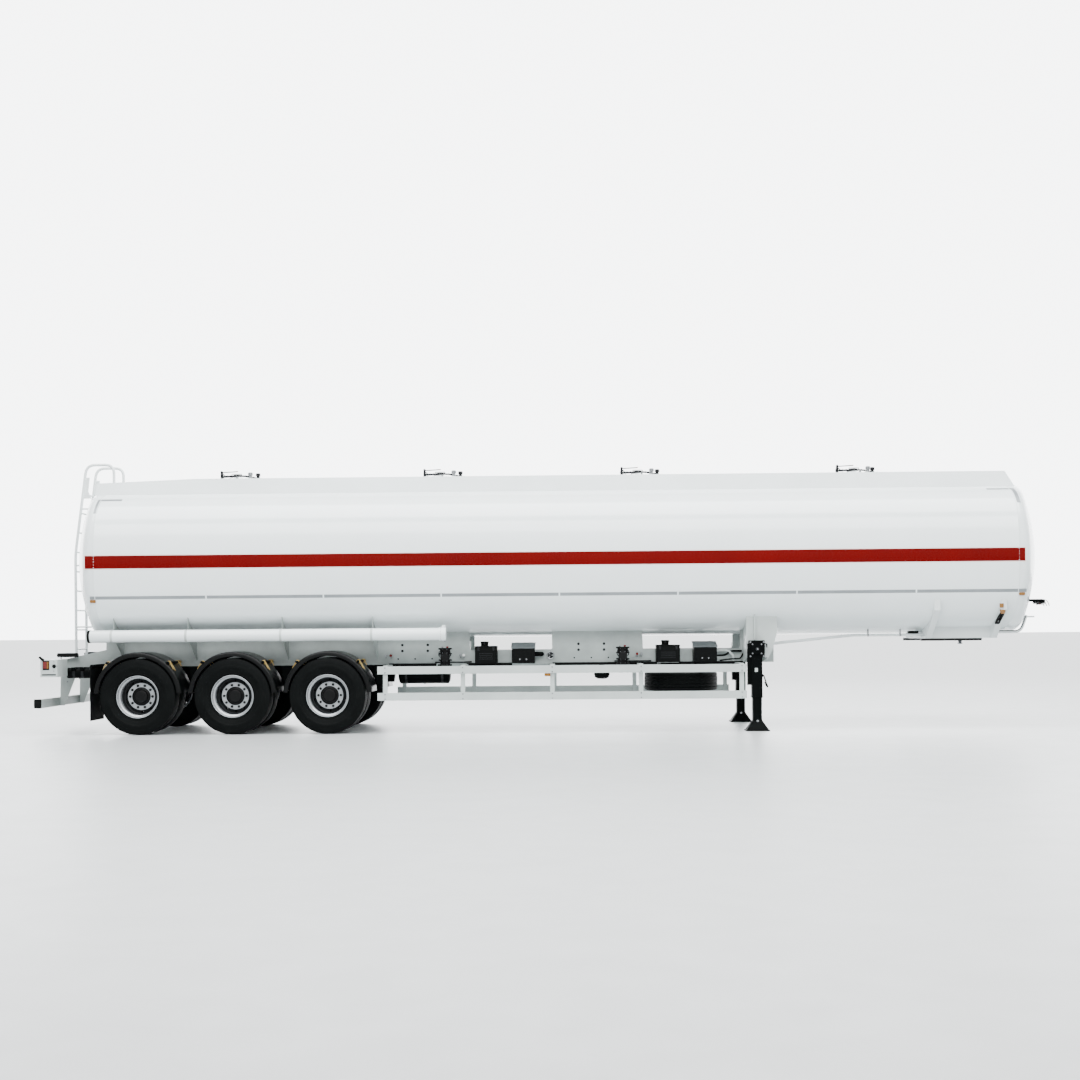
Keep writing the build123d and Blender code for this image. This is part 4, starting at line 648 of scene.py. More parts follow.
def section_quarter():
    """Points (y, z) about the axis from the widest point up to the crown."""
    arcs = (  # centre's y and z, radius, start and end angle, steps
        (-flank_inset, 0.0, FLANK_R, 0.0, WAIST_ANGLE, 12),
        (shoulder_y, shoulder_z, SHOULDER_R, WAIST_ANGLE, FOLD_ANGLE, 18),
        (0.0, -crown_drop, CROWN_R, FOLD_ANGLE, math.pi / 2, 10),
    )
    points = []
    for y, z, radius, start, end, count in arcs:
        for step in range(count):
            angle = start + (end - start) * step / count
            points.append((y + radius * math.cos(angle), z + radius * math.sin(angle)))
    points.append((0.0, TANK_HALF_H))
    return points


def flank_at(z, grow):
    """Point (y, z) on the side of the section at a height above the axis, grown outward."""
    if z > CROWN_R * math.sin(FOLD_ANGLE) - crown_drop:
        raise ValueError("above the flank")
    sign = -1 if z < 0 else 1
    height = abs(z)
    if height < FLANK_R * math.sin(WAIST_ANGLE):
        angle = math.asin(height / FLANK_R)
        return ((FLANK_R + grow) * math.cos(angle) - flank_inset, sign * (FLANK_R + grow) * math.sin(angle))
    angle = math.asin((height - shoulder_z) / SHOULDER_R)
    return (
        shoulder_y + (SHOULDER_R + grow) * math.cos(angle),
        sign * (shoulder_z + (SHOULDER_R + grow) * math.sin(angle)),
    )


def section_ring():
    """The whole section as (y, z) points about the axis, counted round once."""
    quarter = section_quarter()
    half = quarter + [(-y, z) for y, z in reversed(quarter[:-1])]
    return half + [(y, -z) for y, z in reversed(half[1:-1])]


def dish_profile(edge):
    """Points (inset from the apex, radius as a share of the edge) of a dished end."""
    centre_r = edge - KNUCKLE_R
    centre_in = DISH_R - math.sqrt((DISH_R - KNUCKLE_R) ** 2 - centre_r**2)
    meet = math.asin(centre_r / (DISH_R - KNUCKLE_R))
    points = []
    for step in range(1, 13):
        angle = meet * step / 12
        points.append((DISH_R - DISH_R * math.cos(angle), DISH_R * math.sin(angle) / edge))
    for step in range(1, 9):
        angle = meet + (math.pi / 2 - meet) * step / 8
        inset = centre_in - KNUCKLE_R * math.cos(angle)
        points.append((inset, (centre_r + KNUCKLE_R * math.sin(angle)) / edge))
    return points


ring = section_ring()
SEAM_BEAD_H = 0.0016
SEAM_BEAD_W = 0.012
tank_form = bmesh.new()
columns = []
for y, z in ring:
    edge = math.hypot(y, z)
    dish = dish_profile(edge)
    stations = [(TANK_REAR + inset, share) for inset, share in dish]
    for seam_x in (TANK_REAR + SEAM_IN, TANK_FRONT - SEAM_IN):
        for offset, height in ((-0.5, 0), (-0.25, 1), (0.25, 1), (0.5, 0)):
            stations.append((seam_x + offset * SEAM_BEAD_W, 1 + height * SEAM_BEAD_H / edge))
    stations += [(TANK_FRONT - inset, share) for inset, share in reversed(dish)]
    columns.append([tank_form.verts.new((x, y * share, TANK_AXIS_Z + z * share)) for x, share in stations])
skin(tank_form, columns + columns[:1], closed=False)
for end, x in ((0, TANK_REAR), (-1, TANK_FRONT)):
    apex = tank_form.verts.new((x, 0, TANK_AXIS_Z))
    for column, other in zip(columns, columns[1:] + columns[:1]):
        tank_form.faces.new((column[end], other[end], apex))
tank_piece = add_piece("tank_shell", mesh_from(tank_form, "tank_shell", 60), tank_white, "frame")
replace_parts(tank_piece, "tank")

# Stripe and reflective tape, laid on the flanks.
red_paint = finish("deep_red_stripe_paint", "5E0002", "560002", 0.26, 0.05, grain=140, shine=0.12)
stripe_edge = finish("pale_stripe_edge", "F2DCD8", "ECD2CD", 0.25, 0.05, grain=140)
tape_grey = finish("grey_reflective_tape", "8A9093", "7B8184", 0.36, 0.08, metallic=0.2, grain=300)
STRIPE_FROM, STRIPE_TO = -6.35, 6.49
STRIPE_LOW, STRIPE_HIGH = 2.292, 2.47
STRIPE_EDGE_H = 0.012
TAPE_FROM, TAPE_TO = -6.3, 6.52
TAPE_LOW, TAPE_HIGH = 1.87, 1.914
TAPE_STEP = 1.6
TAPE_BREAK = 0.02
SKIN = 0.0008


def band(form, side, start_x, end_x, low_z, high_z, grow):
    """Strip along a flank."""
    steps = 6
    rows = []
    for step in range(steps + 1):
        z = low_z + (high_z - low_z) * step / steps
        y, height = flank_at(z - TANK_AXIS_Z, grow)
        rows.append([form.verts.new((x, side * y, TANK_AXIS_Z + height)) for x in (start_x, end_x)])
    skin(form, rows, closed=False)


edge_form, stripe_form, tape_form = bmesh.new(), bmesh.new(), bmesh.new()
for side in (-1, 1):
    band(
        edge_form,
        side,
        STRIPE_FROM - STRIPE_EDGE_H,
        STRIPE_TO + STRIPE_EDGE_H,
        STRIPE_LOW - STRIPE_EDGE_H,
        STRIPE_HIGH + STRIPE_EDGE_H,
        SKIN,
    )
    band(stripe_form, side, STRIPE_FROM, STRIPE_TO, STRIPE_LOW, STRIPE_HIGH, 2 * SKIN)
    x = TAPE_FROM
    while x < TAPE_TO:
        band(tape_form, side, x, min(x + TAPE_STEP, TAPE_TO), TAPE_LOW, TAPE_HIGH, SKIN)
        x += TAPE_STEP + TAPE_BREAK
for name, form, material in (
    ("stripe_edge", edge_form, stripe_edge),
    ("red_stripe", stripe_form, red_paint),
    ("side_tape", tape_form, tape_grey),
):
    add_piece(name, mesh_from(form, name), material, "frame")

# Corner marks: grey tape turned round the shoulders near both ends of the tank.
CORNER_MARKS = (  # start_x, end_x, upright's start_x and end_x, top_y, bottom_y, foot_y
    (6.1, 6.48, 6.43, 6.48, 0.735, 0.8, 1.082),
    (-6.27, -5.93, -6.27, -6.22, 0.852, 0.908, 1.108),
)
SHOULDER_FOLD_Y = shoulder_y + SHOULDER_R * math.cos(FOLD_ANGLE)


def shoulder_at(y, grow):
    """Point (y, z) on the shoulder or crown at a distance from the middle, grown outward."""
    if y < SHOULDER_FOLD_Y:
        angle = math.acos(y / CROWN_R)
        return (CROWN_R + grow) * math.cos(angle), (CROWN_R + grow) * math.sin(angle) - crown_drop
    angle = math.acos((y - shoulder_y) / SHOULDER_R)
    return shoulder_y + (SHOULDER_R + grow) * math.cos(angle), shoulder_z + (SHOULDER_R + grow) * math.sin(angle)


marks_form = bmesh.new()
for start_x, end_x, post_start, post_end, top_y, low_y, foot_y in CORNER_MARKS:
    for side in (-1, 1):
        for from_x, to_x, from_y, to_y in ((start_x, end_x, top_y, low_y), (post_start, post_end, low_y, foot_y)):
            rows = []
            for step in range(9):
                y, height = shoulder_at(from_y + (to_y - from_y) * step / 8, SKIN)
                rows.append([marks_form.verts.new((x, side * y, TANK_AXIS_Z + height)) for x in (from_x, to_x)])
            skin(marks_form, rows, closed=False)
add_piece("corner_marks", mesh_from(marks_form, "corner_marks"), tape_grey, "frame")

# Manhole lids: a rolled rim, a white pressed dome, hatch, vents, swing clamps, strap and lever.
LID_AHEAD, LID_ABOVE_TANK = 0.03, 0.1403
neck_boxes = [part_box(f"manhole_neck_{number}") for number in (1, 2, 3, 4)]
LID_X = [(low[0] + high[0]) / 2 + LID_AHEAD for low, high in neck_boxes]
LID_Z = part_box("tank")[1][2] + LID_ABOVE_TANK
LID_R = 0.28
LID_HINGE_X = -0.325
LID_HINGE_Z = 0.0212
LID_RIM = (
    (0, 0), (0, 0.272), (0.003, 0.2785), (0.008, LID_R), (0.018, LID_R), (0.022, 0.277), (0.0225, 0.257),
    (0.018, 0.252), (0.018, 0.246), (0.022, 0.243),
)
LID_DOME = ((0.018, 0.247), (0.024, 0.244), (0.038, 0.2), (0.052, 0.15), (0.0625, 0.1), (0.0685, 0.05), (0.07, 0))
HATCH_X, HATCH_BOLTS, HATCH_BOLT_CIRCLE_R = -0.05, 6, 0.082
NECK_STUDS, NECK_STUD_CIRCLE_R = 24, 0.2745
CLAMPS = 6
HATCH = (
    (0.055, 0.0), (0.055, 0.092), (0.07, 0.092), (0.073, 0.088), (0.073, 0.074), (0.078, 0.07), (0.092, 0.07),
    (0.099, 0.06), (0.101, 0.0),
)
lid_kit = Kit()
metal, white, steel, bright = lid_kit.forms(lid_metal, tank_white, dark_steel, zinc)
turned(metal, LID_RIM, sides=72)
turned(white, LID_DOME, sides=72)
turned(steel, HATCH, (HATCH_X, 0, 0), sides=40)
for x, y in circle(HATCH_BOLTS, HATCH_BOLT_CIRCLE_R, 0.5):
    bolt(bright, (HATCH_X + x, y, 0.073), (0, 0, 1), 0.006)
pipe(bright, ((-0.12, -0.06, 0.088), (-0.12, -0.06, 0.106), (0.02, -0.06, 0.106), (0.02, -0.06, 0.088)), 0.006)
for x, y, cap, form in ((0.148, -0.06, 0.036, bright), (0.235, 0.06, 0.034, steel)):
    vent = ((0.02, 0), (0.02, 0.03), (0.06, 0.03), (0.062, 0.024), (0.084, 0.024), (0.086, cap), (0.118, cap))
    turned(form, vent + ((0.1275, cap - 0.01), (0.1295, 0)), (x, y, 0), sides=28)
for x, y in circle(CLAMPS, 1.0, 0.5):
    out = Vector((x, y, 0))
    route = [reach * out + Vector((0, 0, height)) for reach, height in ((0.234, 0.028), (0.262, 0.036), (0.277, 0.03))]
    sweep(bright, route, bar(0.012, -0.006, 0.004), Vector((-y, x, 0)))
    bolt(bright, route[1], (0, 0, 1), 0.008)
STRAP_REAR, STRAP_FRONT, STRAP_TOP = 0.28, 0.245, 0.094
strap_route = []
for step in range(17):
    x = -STRAP_REAR + (STRAP_REAR + STRAP_FRONT) * step / 16
    fall = 0.009 * (x / STRAP_REAR) ** 2 if x < 0 else 0.044 * (x / STRAP_FRONT) ** 2
    strap_route.append(Vector((x, 0, STRAP_TOP - fall)))
strap = [(-0.022, -0.026), (0.022, -0.026), (0.022, -0.002), (0.019, 0), (-0.019, 0), (-0.022, -0.002)]
sweep(steel, strap_route, strap, (0, 1, 0))
for x in (-0.2, -0.15, 0.07, 0.11, 0.2):
    bolt(bright, (x, 0, STRAP_TOP - 0.0005 - 0.044 * (max(x, 0) / STRAP_FRONT) ** 2), (0, 0, 1), 0.007)
turned(steel, ((-0.024, 0), (-0.024, 0.017), (0.024, 0.017), (0.024, 0)), (-0.28, 0, 0.142), (0, 1, 0), 20)
cheek = ((-0.295, 0.018), (-0.265, 0.018), (-0.262, 0.1), (-0.268, 0.152), (-0.292, 0.152), (-0.298, 0.1))
for y in (-0.014, 0.014):
    slab(steel, cheek, 1, y - 0.003, y + 0.003)
lever = rounded(((-0.285, 0, 0.136), (-0.18, 0, 0.142), (-0.068, 0, 0.148)), 0.05)
sweep(steel, lever, bar(0.011, -0.007, 0.0) + [(0.006, 0.006), (-0.006, 0.006)], (0, 1, 0))
rod(lid_kit[signal_red], (-0.075, 0, 0.1475), (-0.045, 0, 0.1485), 0.0075)
rod(steel, (-0.272, 0, 0.118), (-0.216, 0, 0.072), 0.008)
rod(bright, (-0.216, -0.02, 0.084), (-0.216, 0.02, 0.084), 0.009)
pipe(bright, ((-0.255, 0.03, 0.052), (-0.298, 0.03, 0.06), (-0.298, 0.03, 0.1), (-0.27, 0.03, 0.115)), 0.005, 0.02)
rod(metal, (LID_HINGE_X, -0.054, LID_HINGE_Z), (LID_HINGE_X, 0.054, LID_HINGE_Z), 0.0195, 24)
block(metal, (LID_HINGE_X, -0.022, LID_HINGE_Z - 0.011), (-0.25, 0.022, LID_HINGE_Z + 0.011), 0.0015)
catch = rounded(((0.268, 0, 0.012), (0.3, 0, 0.012), (0.3, 0, 0.045), (0.286, 0, 0.05)), 0.012)
sweep(metal, catch, bar(0.02, -0.004, 0.004), (0, 1, 0))
manholes = list(enumerate(LID_X, 1))
lids = place(lid_kit, [(f"manhole_lid_{number}", f"manhole_{number}", (x, 0, LID_Z)) for number, x in manholes])
for number, x in manholes:
    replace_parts(lids[f"manhole_lid_{number}", lid_metal.name], f"manhole_lid_{number}")

neck_kit = Kit()
for x, y in circle(NECK_STUDS, NECK_STUD_CIRCLE_R, 0.5):
    rod(neck_kit[zinc], (x, y, -0.0165), (x, y, -0.0255), 0.007, 6)
place(neck_kit, [(f"manhole_studs_{number}", "frame", (x, 0, LID_Z)) for number, x in manholes])

# Air reservoirs with dished ends, weld beads and straps hung from the webs.
AIR_RESERVOIRS = (  # start and end along X, y, z, radius, hanger from y to y
    (-6.79, -6.43, -0.7, 0.85, 0.075, -0.8, -0.435),
    (-2.18, -1.42, 0.0, 0.77, 0.125, -0.535, 0.535),
)
HANGER_LOW_Z, HANGER_HIGH_Z = 0.8897, 0.9297
WELD_BEAD = ((-0.004, 0), (-0.002, 0.0015), (0.002, 0.0015), (0.004, 0))
air_kit = Kit()
black, steel, bright = air_kit.forms(frame_black, dark_steel, zinc)
for start_x, end_x, y, z, radius, hanger_from, hanger_to in AIR_RESERVOIRS:
    length = end_x - start_x
    end_depth = 0.3 * radius
    profile = [(0, 0)] + [(0.3 * (radius - near), out) for near, out in circle(32, radius)[1:9]]
    for seam in (end_depth + 0.02, length - end_depth - 0.02):
        profile += [(seam + along, radius + height) for along, height in WELD_BEAD]
    profile += [(length - along, at_r) for along, at_r in reversed(profile[:9])]
    turned(black, profile, (start_x, y, z), (1, 0, 0), 48)
    for strap_x in (start_x + 0.12, end_x - 0.12):
        hoop(steel, (strap_x, y, z), 0.016, radius, radius + 0.003)
        block(black, (strap_x - 0.025, hanger_from, HANGER_LOW_Z), (strap_x + 0.025, hanger_to, HANGER_HIGH_Z))
    drain_x = start_x + 0.5 * length
    rod(bright, (drain_x, y, z - radius - 0.012), (drain_x, y, z - radius + 0.01), 0.012, 6)
air = fit(air_kit, "air_reservoirs")
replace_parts(air["air_reservoirs", frame_black.name], "air_tanks")

# Right rail: cover screws, drain boxes, toolbox latches, bottom valves, hand wheel and pipes.
WEB_Y = -0.5353
COVER_BOLT_Y = 0.541
BOX_FACE_Y, TOOLBOX_FACE_Y = WEB_Y - 0.26, WEB_Y - 0.28
rail_kit = Kit()
steel, box, bright, white = rail_kit.forms(dark_steel, box_black, zinc, chassis_white_painted_shade)
cast, red = rail_kit.forms(cast_dark, signal_red)
for start_x, end_x in ((-2.187, -1.577), (0.295, 0.919)):
    middle = (start_x + end_x) / 2
    for side in (-1, 1):
        side_bolts(steel, side, COVER_BOLT_Y, [(middle + x, z) for x in (-0.18, 0.18) for z in (1.206, 1.122)], 0.013)
        side_bolts(steel, side, COVER_BOLT_Y, [(middle + x, 1.01) for x in (-0.24, 0, 0.24)], 0.008)
NECK = (
    (0, 0.056), (0.012, 0.056), (0.014, 0.052), (0.044, 0.052), (0.046, 0.058), (0.066, 0.058), (0.07, 0.05),
    (0.0705, 0),
)
for start_x, end_x, neck_x in ((-1.02, -0.71, -0.89), (1.51, 1.84, 1.64)):
    block(box, (start_x + 0.02, BOX_FACE_Y - 0.005, 0.962), (end_x - 0.02, BOX_FACE_Y, 1.162))
    block(box, (start_x + 0.002, BOX_FACE_Y - 0.006, 1.166), (end_x - 0.002, WEB_Y, 1.186), 0.004)
    for x in (start_x + 0.05, end_x - 0.05):
        block(steel, (x - 0.014, BOX_FACE_Y - 0.013, 1.12), (x + 0.014, BOX_FACE_Y - 0.006, 1.172))
    for z in (1.0, 1.026, 1.052, 1.078):
        block(steel, (start_x + 0.06, BOX_FACE_Y - 0.009, z), (end_x - 0.06, BOX_FACE_Y - 0.004, z + 0.009))
    turned(box, NECK, (neck_x, WEB_Y - 0.13, 1.18), sides=40)
    rod(steel, (neck_x, WEB_Y - 0.192, 1.235), (neck_x, WEB_Y - 0.192, 1.205), 0.008, 8)
TOOLBOX_X = (-0.345, 2.19)
for toolbox_x in TOOLBOX_X:
    block(box, (toolbox_x - 0.13, TOOLBOX_FACE_Y - 0.004, 0.975), (toolbox_x + 0.13, TOOLBOX_FACE_Y, 1.125))
    for x in (toolbox_x - 0.045, toolbox_x + 0.045):
        y = TOOLBOX_FACE_Y - 0.012
        block(bright, (x - 0.01, y, 0.994), (x + 0.01, TOOLBOX_FACE_Y - 0.003, 1.008), 0.003)
        pipe(bright, ((x - 0.01, y, 1.0), (x, y - 0.008, 0.985), (x + 0.01, y, 1.0)), 0.003)
VALVE_Y, VALVE_BOLTS, VALVE_BOLT_CIRCLE_R = -0.8, 8, 0.081
VALVE_NOSE = (
    (0, 0), (0, 0.052), (0.02, 0.052), (0.024, 0.046), (0.03, 0.046), (0.034, 0.058), (0.05, 0.058),
    (0.056, 0.05), (0.056, 0),
)
for valve_x in (-1.434, 1.042):
    block(white, (valve_x - 0.12, WEB_Y - 0.008, 0.955), (valve_x + 0.12, WEB_Y, 1.19))
    for height in (0.925, 0.995, 1.0635, 1.083, 1.153):
        for x, y in circle(VALVE_BOLTS, VALVE_BOLT_CIRCLE_R, 0.5):
            start, end = ((valve_x + x, VALVE_Y + y, height + reach) for reach in (-0.014, 0.014))
            rod(bright, start, end, 0.0065, 6)
    turned(cast, VALVE_NOSE, (valve_x, -0.855, 1.035), (0, -1, 0), 36)
    for side in (-1, 1):
        lever = ((0.062, -0.9, 1.035), (0.085, -0.9, 1.06), (0.075, -0.89, 1.12))
        pipe(steel, [(valve_x + x * side, y, z) for x, y, z in lever], 0.0055, 0.02)
    rod(red, (valve_x + 0.03, VALVE_Y, 1.164), (valve_x + 0.03, VALVE_Y, 1.186), 0.018, 20)
    rod(bright, (valve_x - 0.04, VALVE_Y, 1.164), (valve_x - 0.04, VALVE_Y, 1.182), 0.013, 6)
TAPS = ((-2.29, zinc), (-2.22, signal_red), (-1.235, zinc), (-1.19, blank_white), (1.25, signal_red), (1.31, zinc))
TAP_Z = 1.06
for x, material in TAPS:
    rod(bright, (x, WEB_Y, TAP_Z), (x, WEB_Y - 0.05, TAP_Z), 0.011)
    rod(rail_kit[material], (x, WEB_Y - 0.05, TAP_Z), (x, WEB_Y - 0.085, TAP_Z), 0.019, 20)
    rod(bright, (x, WEB_Y - 0.03, TAP_Z), (x, WEB_Y - 0.03, 1.015), 0.008)
HAND_WHEEL_X, HAND_WHEEL_Z, HAND_WHEEL_R = 0.033, 1.05, 0.05


def on_hand_wheel(count):
    """Points evenly round the hand wheel's rim."""
    return [(HAND_WHEEL_X + x, WEB_Y - 0.125, HAND_WHEEL_Z + z) for x, z in circle(count, HAND_WHEEL_R)]


rim = on_hand_wheel(32)
for start, end in zip(rim, rim[1:] + rim[:1]):
    rod(bright, start, end, 0.0075, 8)
for end in on_hand_wheel(3):
    rod(bright, (HAND_WHEEL_X, WEB_Y - 0.12, HAND_WHEEL_Z), end, 0.006, 8)
rod(steel, (HAND_WHEEL_X, WEB_Y, HAND_WHEEL_Z), (HAND_WHEEL_X, WEB_Y - 0.13, HAND_WHEEL_Z), 0.013)
low, high = (HAND_WHEEL_X - 0.035, HAND_WHEEL_Z - 0.04), (HAND_WHEEL_X + 0.035, HAND_WHEEL_Z + 0.04)
side_block(steel, -1, -WEB_Y, 0.06 - WEB_Y, low, high, 0.006)
PIPES = (  # material, radius, points
    (frame_black, 0.032, ((-0.185, -0.62, 1.067), (-0.09, -0.62, 1.067), (-0.09, -0.535, 1.067))),
    (frame_white_painted_shade, 0.018, ((2.36, -0.6, 1.1), (2.52, -0.6, 1.1), (2.6, -0.62, 1.02), (2.6, -0.62, 0.95))),
    (frame_black, 0.014, ((2.36, -0.66, 1.03), (2.48, -0.66, 1.03), (2.56, -0.58, 1.09), (2.72, -0.56, 1.09))),
    (frame_black, 0.011, ((2.4, -0.7, 0.96), (2.55, -0.7, 0.98), (2.7, -0.6, 0.98), (2.735, -0.56, 1.05))),
    (box_black, 0.009, ((-1.6, -0.552, 0.958), (-1.2, -0.552, 0.958), (-1.08, -0.552, 0.965))),
    (box_black, 0.009, ((0.93, -0.552, 0.96), (1.2, -0.552, 0.958), (1.45, -0.552, 0.96))),
)
for material, radius, points in PIPES:
    pipe(rail_kit[material], points, radius, 0.06)
FILTER = (
    (0, 0), (0, 0.06), (0.02, 0.1), (0.05, 0.105), (0.055, 0.112), (0.075, 0.112), (0.08, 0.105), (0.16, 0.095),
    (0.17, 0.04), (0.2197, 0.04), (0.2197, 0),
)
turned(rail_kit[frame_black], FILTER, (0.755, -0.47, 0.71), sides=40)
# Black air hoses clipped along the foot of the right-hand web, broken where the boxes' brackets hide them; they also
# stand in as painted shade for the dark band under the web's lower flange.
HOSE_AND_SHADE_Y = WEB_Y - 0.011
for start_x, end_x in ((-2.25, -1.58), (-1.15, -0.51), (0.06, 1.53), (1.84, 2.74)):
    for z in (0.917, 0.936):
        rod(rail_kit[flap_rubber], (start_x, HOSE_AND_SHADE_Y, z), (end_x, HOSE_AND_SHADE_Y, z), 0.01, 12)
fit(rail_kit, "rail_fittings")

toolbox_kit = Kit()
for end in (-0.1, 0.1):
    rod(toolbox_kit[dark_steel], (end - 0.03, -0.5375, 1.2265), (end + 0.03, -0.5375, 1.2265), 0.005)
block(toolbox_kit[lid_grey], (-0.05, -0.829, 1.1505), (0.05, -0.8225, 1.1545), 0.001)
doors = enumerate(TOOLBOX_X, 1)
place(toolbox_kit, [(f"toolbox_trim_{number}", f"toolbox_door_{number}", (x, 0, 0)) for number, x in doors])

# Hose tube: riveted collar, hasp on the cap and hoops over the tube at the gussets.
TUBE_Y, TUBE_Z, TUBE_R = -1.095, 1.36, 0.086
TUBE_FRONT_X, TUBE_REAR_X = -1.3995, -6.354
COLLAR_X, COLLAR_RIVETS = -1.463, 20
tube_kit = Kit()
for across, up in circle(COLLAR_RIVETS, 1.0):
    start, end = ((COLLAR_X, TUBE_Y + reach * across, TUBE_Z + reach * up) for reach in (0.0935, 0.0965))
    rod(tube_kit[dark_steel], start, end, 0.0045, 10)
for x in (-6.02, -4.985, -3.675, -2.42):
    hoop(tube_kit[frame_white_painted_shade], (x, TUBE_Y, TUBE_Z), 0.016, TUBE_R - 0.001, TUBE_R + 0.003)
    bolt(tube_kit[zinc], (x, TUBE_Y - 0.02, TUBE_Z + TUBE_R), (0, -0.2, 1), 0.007)
seal = ((0, TUBE_R - 0.006), (0, TUBE_R + 0.004), (0.035, TUBE_R + 0.004), (0.035, TUBE_R - 0.001))
turned(tube_kit[flap_rubber], seal, (TUBE_REAR_X, TUBE_Y, TUBE_Z), (1, 0, 0), 48)
fit(tube_kit, "hose_tube_trim")
cap_kit = Kit()
pressing = ((0, 0.05), (0.004, 0.07), (0.004, 0.082), (0.0, 0.086))
turned(cap_kit[tank_white], pressing, (TUBE_FRONT_X, TUBE_Y, TUBE_Z), (1, 0, 0), 48)
block(cap_kit[zinc], (-1.42, TUBE_Y - 0.015, TUBE_Z - 0.112), (-1.402, TUBE_Y + 0.015, TUBE_Z - 0.09), 0.003)
grip = [(x, TUBE_Y + y, TUBE_Z) for x, y in ((-1.399, -0.04), (-1.385, -0.04), (-1.385, 0.04), (-1.399, 0.04))]
pipe(cap_kit[zinc], grip, 0.005, 0.01)
fit(cap_kit, "tube_cap_trim", "tube_cap")

# Mudguards: arched shells with rolled lips on tubular stays held by plated clamps, and rubber flaps.
tyre_boxes = [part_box(f"tyres_{number}_right") for number in (1, 2, 3)]
AXLE_X = [(low[0] + high[0]) / 2 for low, high in tyre_boxes]
WHEEL_Z = TYRE_R
GUARD_TOP_R, GUARD_END_RISE = 0.6138, 0.05
GUARD_SECTION = [(0.3, 0.549), (0.3, 0.586), (0.2955, 0.6), (0.286, 0.6095), (0.272, GUARD_TOP_R), (0.1, GUARD_TOP_R)]
GUARD_SKIN = 0.004
GUARD_MIDDLE_Y = 0.94
GUARD_START = math.asin(GUARD_END_RISE / GUARD_TOP_R)
STAY_R, STAY_REACH, STAY_ANGLE = 0.017, 0.6307, math.radians(48)
STAY_FOOT_Y, STAY_TIP_Y = 0.5355, 1.24
CLAMP_R, CLAMP_LEG = 0.022, 0.05
guard_kit = Kit()
shell, black, yellow, rubber = guard_kit.forms(guard_plastic, frame_black, yellow_zinc, flap_rubber)
outer = GUARD_SECTION + [(-along, radius) for along, radius in reversed(GUARD_SECTION)]
shrink = (GUARD_SECTION[0][0] - GUARD_SKIN) / GUARD_SECTION[0][0]
inner = [(along * shrink, radius - GUARD_SKIN * (radius > GUARD_SECTION[0][1])) for along, radius in outer]
stay_z = WHEEL_Z + STAY_REACH * math.sin(STAY_ANGLE)
clamp_wire = circle(8, 0.0045)
for axle_x in AXLE_X:
    for side in (-1, 1):
        rings = []
        for step in range(61):
            angle = GUARD_START + (math.pi - 2 * GUARD_START) * step / 60
            ring = []
            for along, radius in outer + inner[::-1]:
                x, z = axle_x + radius * math.cos(angle), WHEEL_Z + radius * math.sin(angle)
                ring.append(shell.verts.new((x, side * GUARD_MIDDLE_Y + along, z)))
            rings.append(ring)
        skin(shell, rings)
        shell.faces.new(rings[0])
        shell.faces.new(rings[-1][::-1])
        for lean in (-1, 1):
            stay_x = axle_x + lean * STAY_REACH * math.cos(STAY_ANGLE)
            rod(black, (stay_x, side * STAY_FOOT_Y, stay_z), (stay_x, side * STAY_TIP_Y, stay_z), STAY_R, 20)
            out = Vector((lean * math.cos(STAY_ANGLE), 0, math.sin(STAY_ANGLE)))
            flat = Vector((out.z, 0, -out.x))
            for clamp_y in (0.6, 0.73, 1.15):
                at = Vector((stay_x, side * clamp_y, stay_z))
                bow = [at + near * flat + far * out for near, far in circle(16, CLAMP_R)[:9]]
                ends = [at - CLAMP_LEG * out + near * flat for near in (CLAMP_R, -CLAMP_R)]
                sweep(yellow, [ends[0]] + bow + [ends[1]], clamp_wire)
                for near in (-CLAMP_R, CLAMP_R):
                    foot = at + near * flat - 0.032 * out
                    rod(yellow, foot, foot - 0.012 * out, 0.009, 6)
            for brace_y, tip in ((1.12, -0.12), (1.18, -0.1), (0.68, -0.07)):
                brace = Vector((stay_x + 0.012 * lean, side * brace_y, stay_z + 0.01))
                rod(yellow, brace, brace + Vector((-0.55 * tip * lean, 0, tip)), 0.0055, 10)
for side in (-1, 1):
    side_block(rubber, side, 0.64, 1.24, (-6.294, 0.2), (-6.286, 0.96))
    side_block(guard_kit[zinc], side, 0.65, 1.23, (-6.298, 0.905), (-6.294, 0.935), 0.001)
    rod(black, (-6.273, side * STAY_FOOT_Y, 0.96), (-6.273, side * STAY_TIP_Y, 0.96), STAY_R, 20)
guards = fit(guard_kit, "mudguard_shells")
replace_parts(guards["mudguard_shells", guard_plastic.name], "mudguards")

# Ladder: leaning stiles bent into round handrail hoops, with rungs, stays to the tank and head plates.
ladder_kit = Kit()
white = ladder_kit[coupler_white_painted_shade]
LADDER_Y, STILE_R, RUNG_R = 0.235, 0.02, 0.012
STILE_X, STILE_FOOT_Z, STILE_LEAN_X, HOOP_FRONT_X = -6.805, 1.04, -6.652, -6.238
HEAD_HALF_T, HEAD_FOOT, HEAD_ARM = 0.004, 0.13, 0.07
RUNG_PITCH = 0.28
HOOP_BEND = 0.125
stile_bend_z = TANK_AXIS_Z + 0.165
tank_top_z = TANK_AXIS_Z + TANK_HALF_H
stile_lean_z = tank_top_z + 0.25
hoop_top_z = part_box("ladder")[1][2] - STILE_R
crown_foot_z = TANK_AXIS_Z - crown_drop + math.sqrt(CROWN_R**2 - LADDER_Y**2)


def stile_at(height):
    """Place along X of a stile's middle line at a height."""
    return STILE_X + max(0, height - stile_bend_z) * (STILE_LEAN_X - STILE_X) / (stile_lean_z - stile_bend_z)


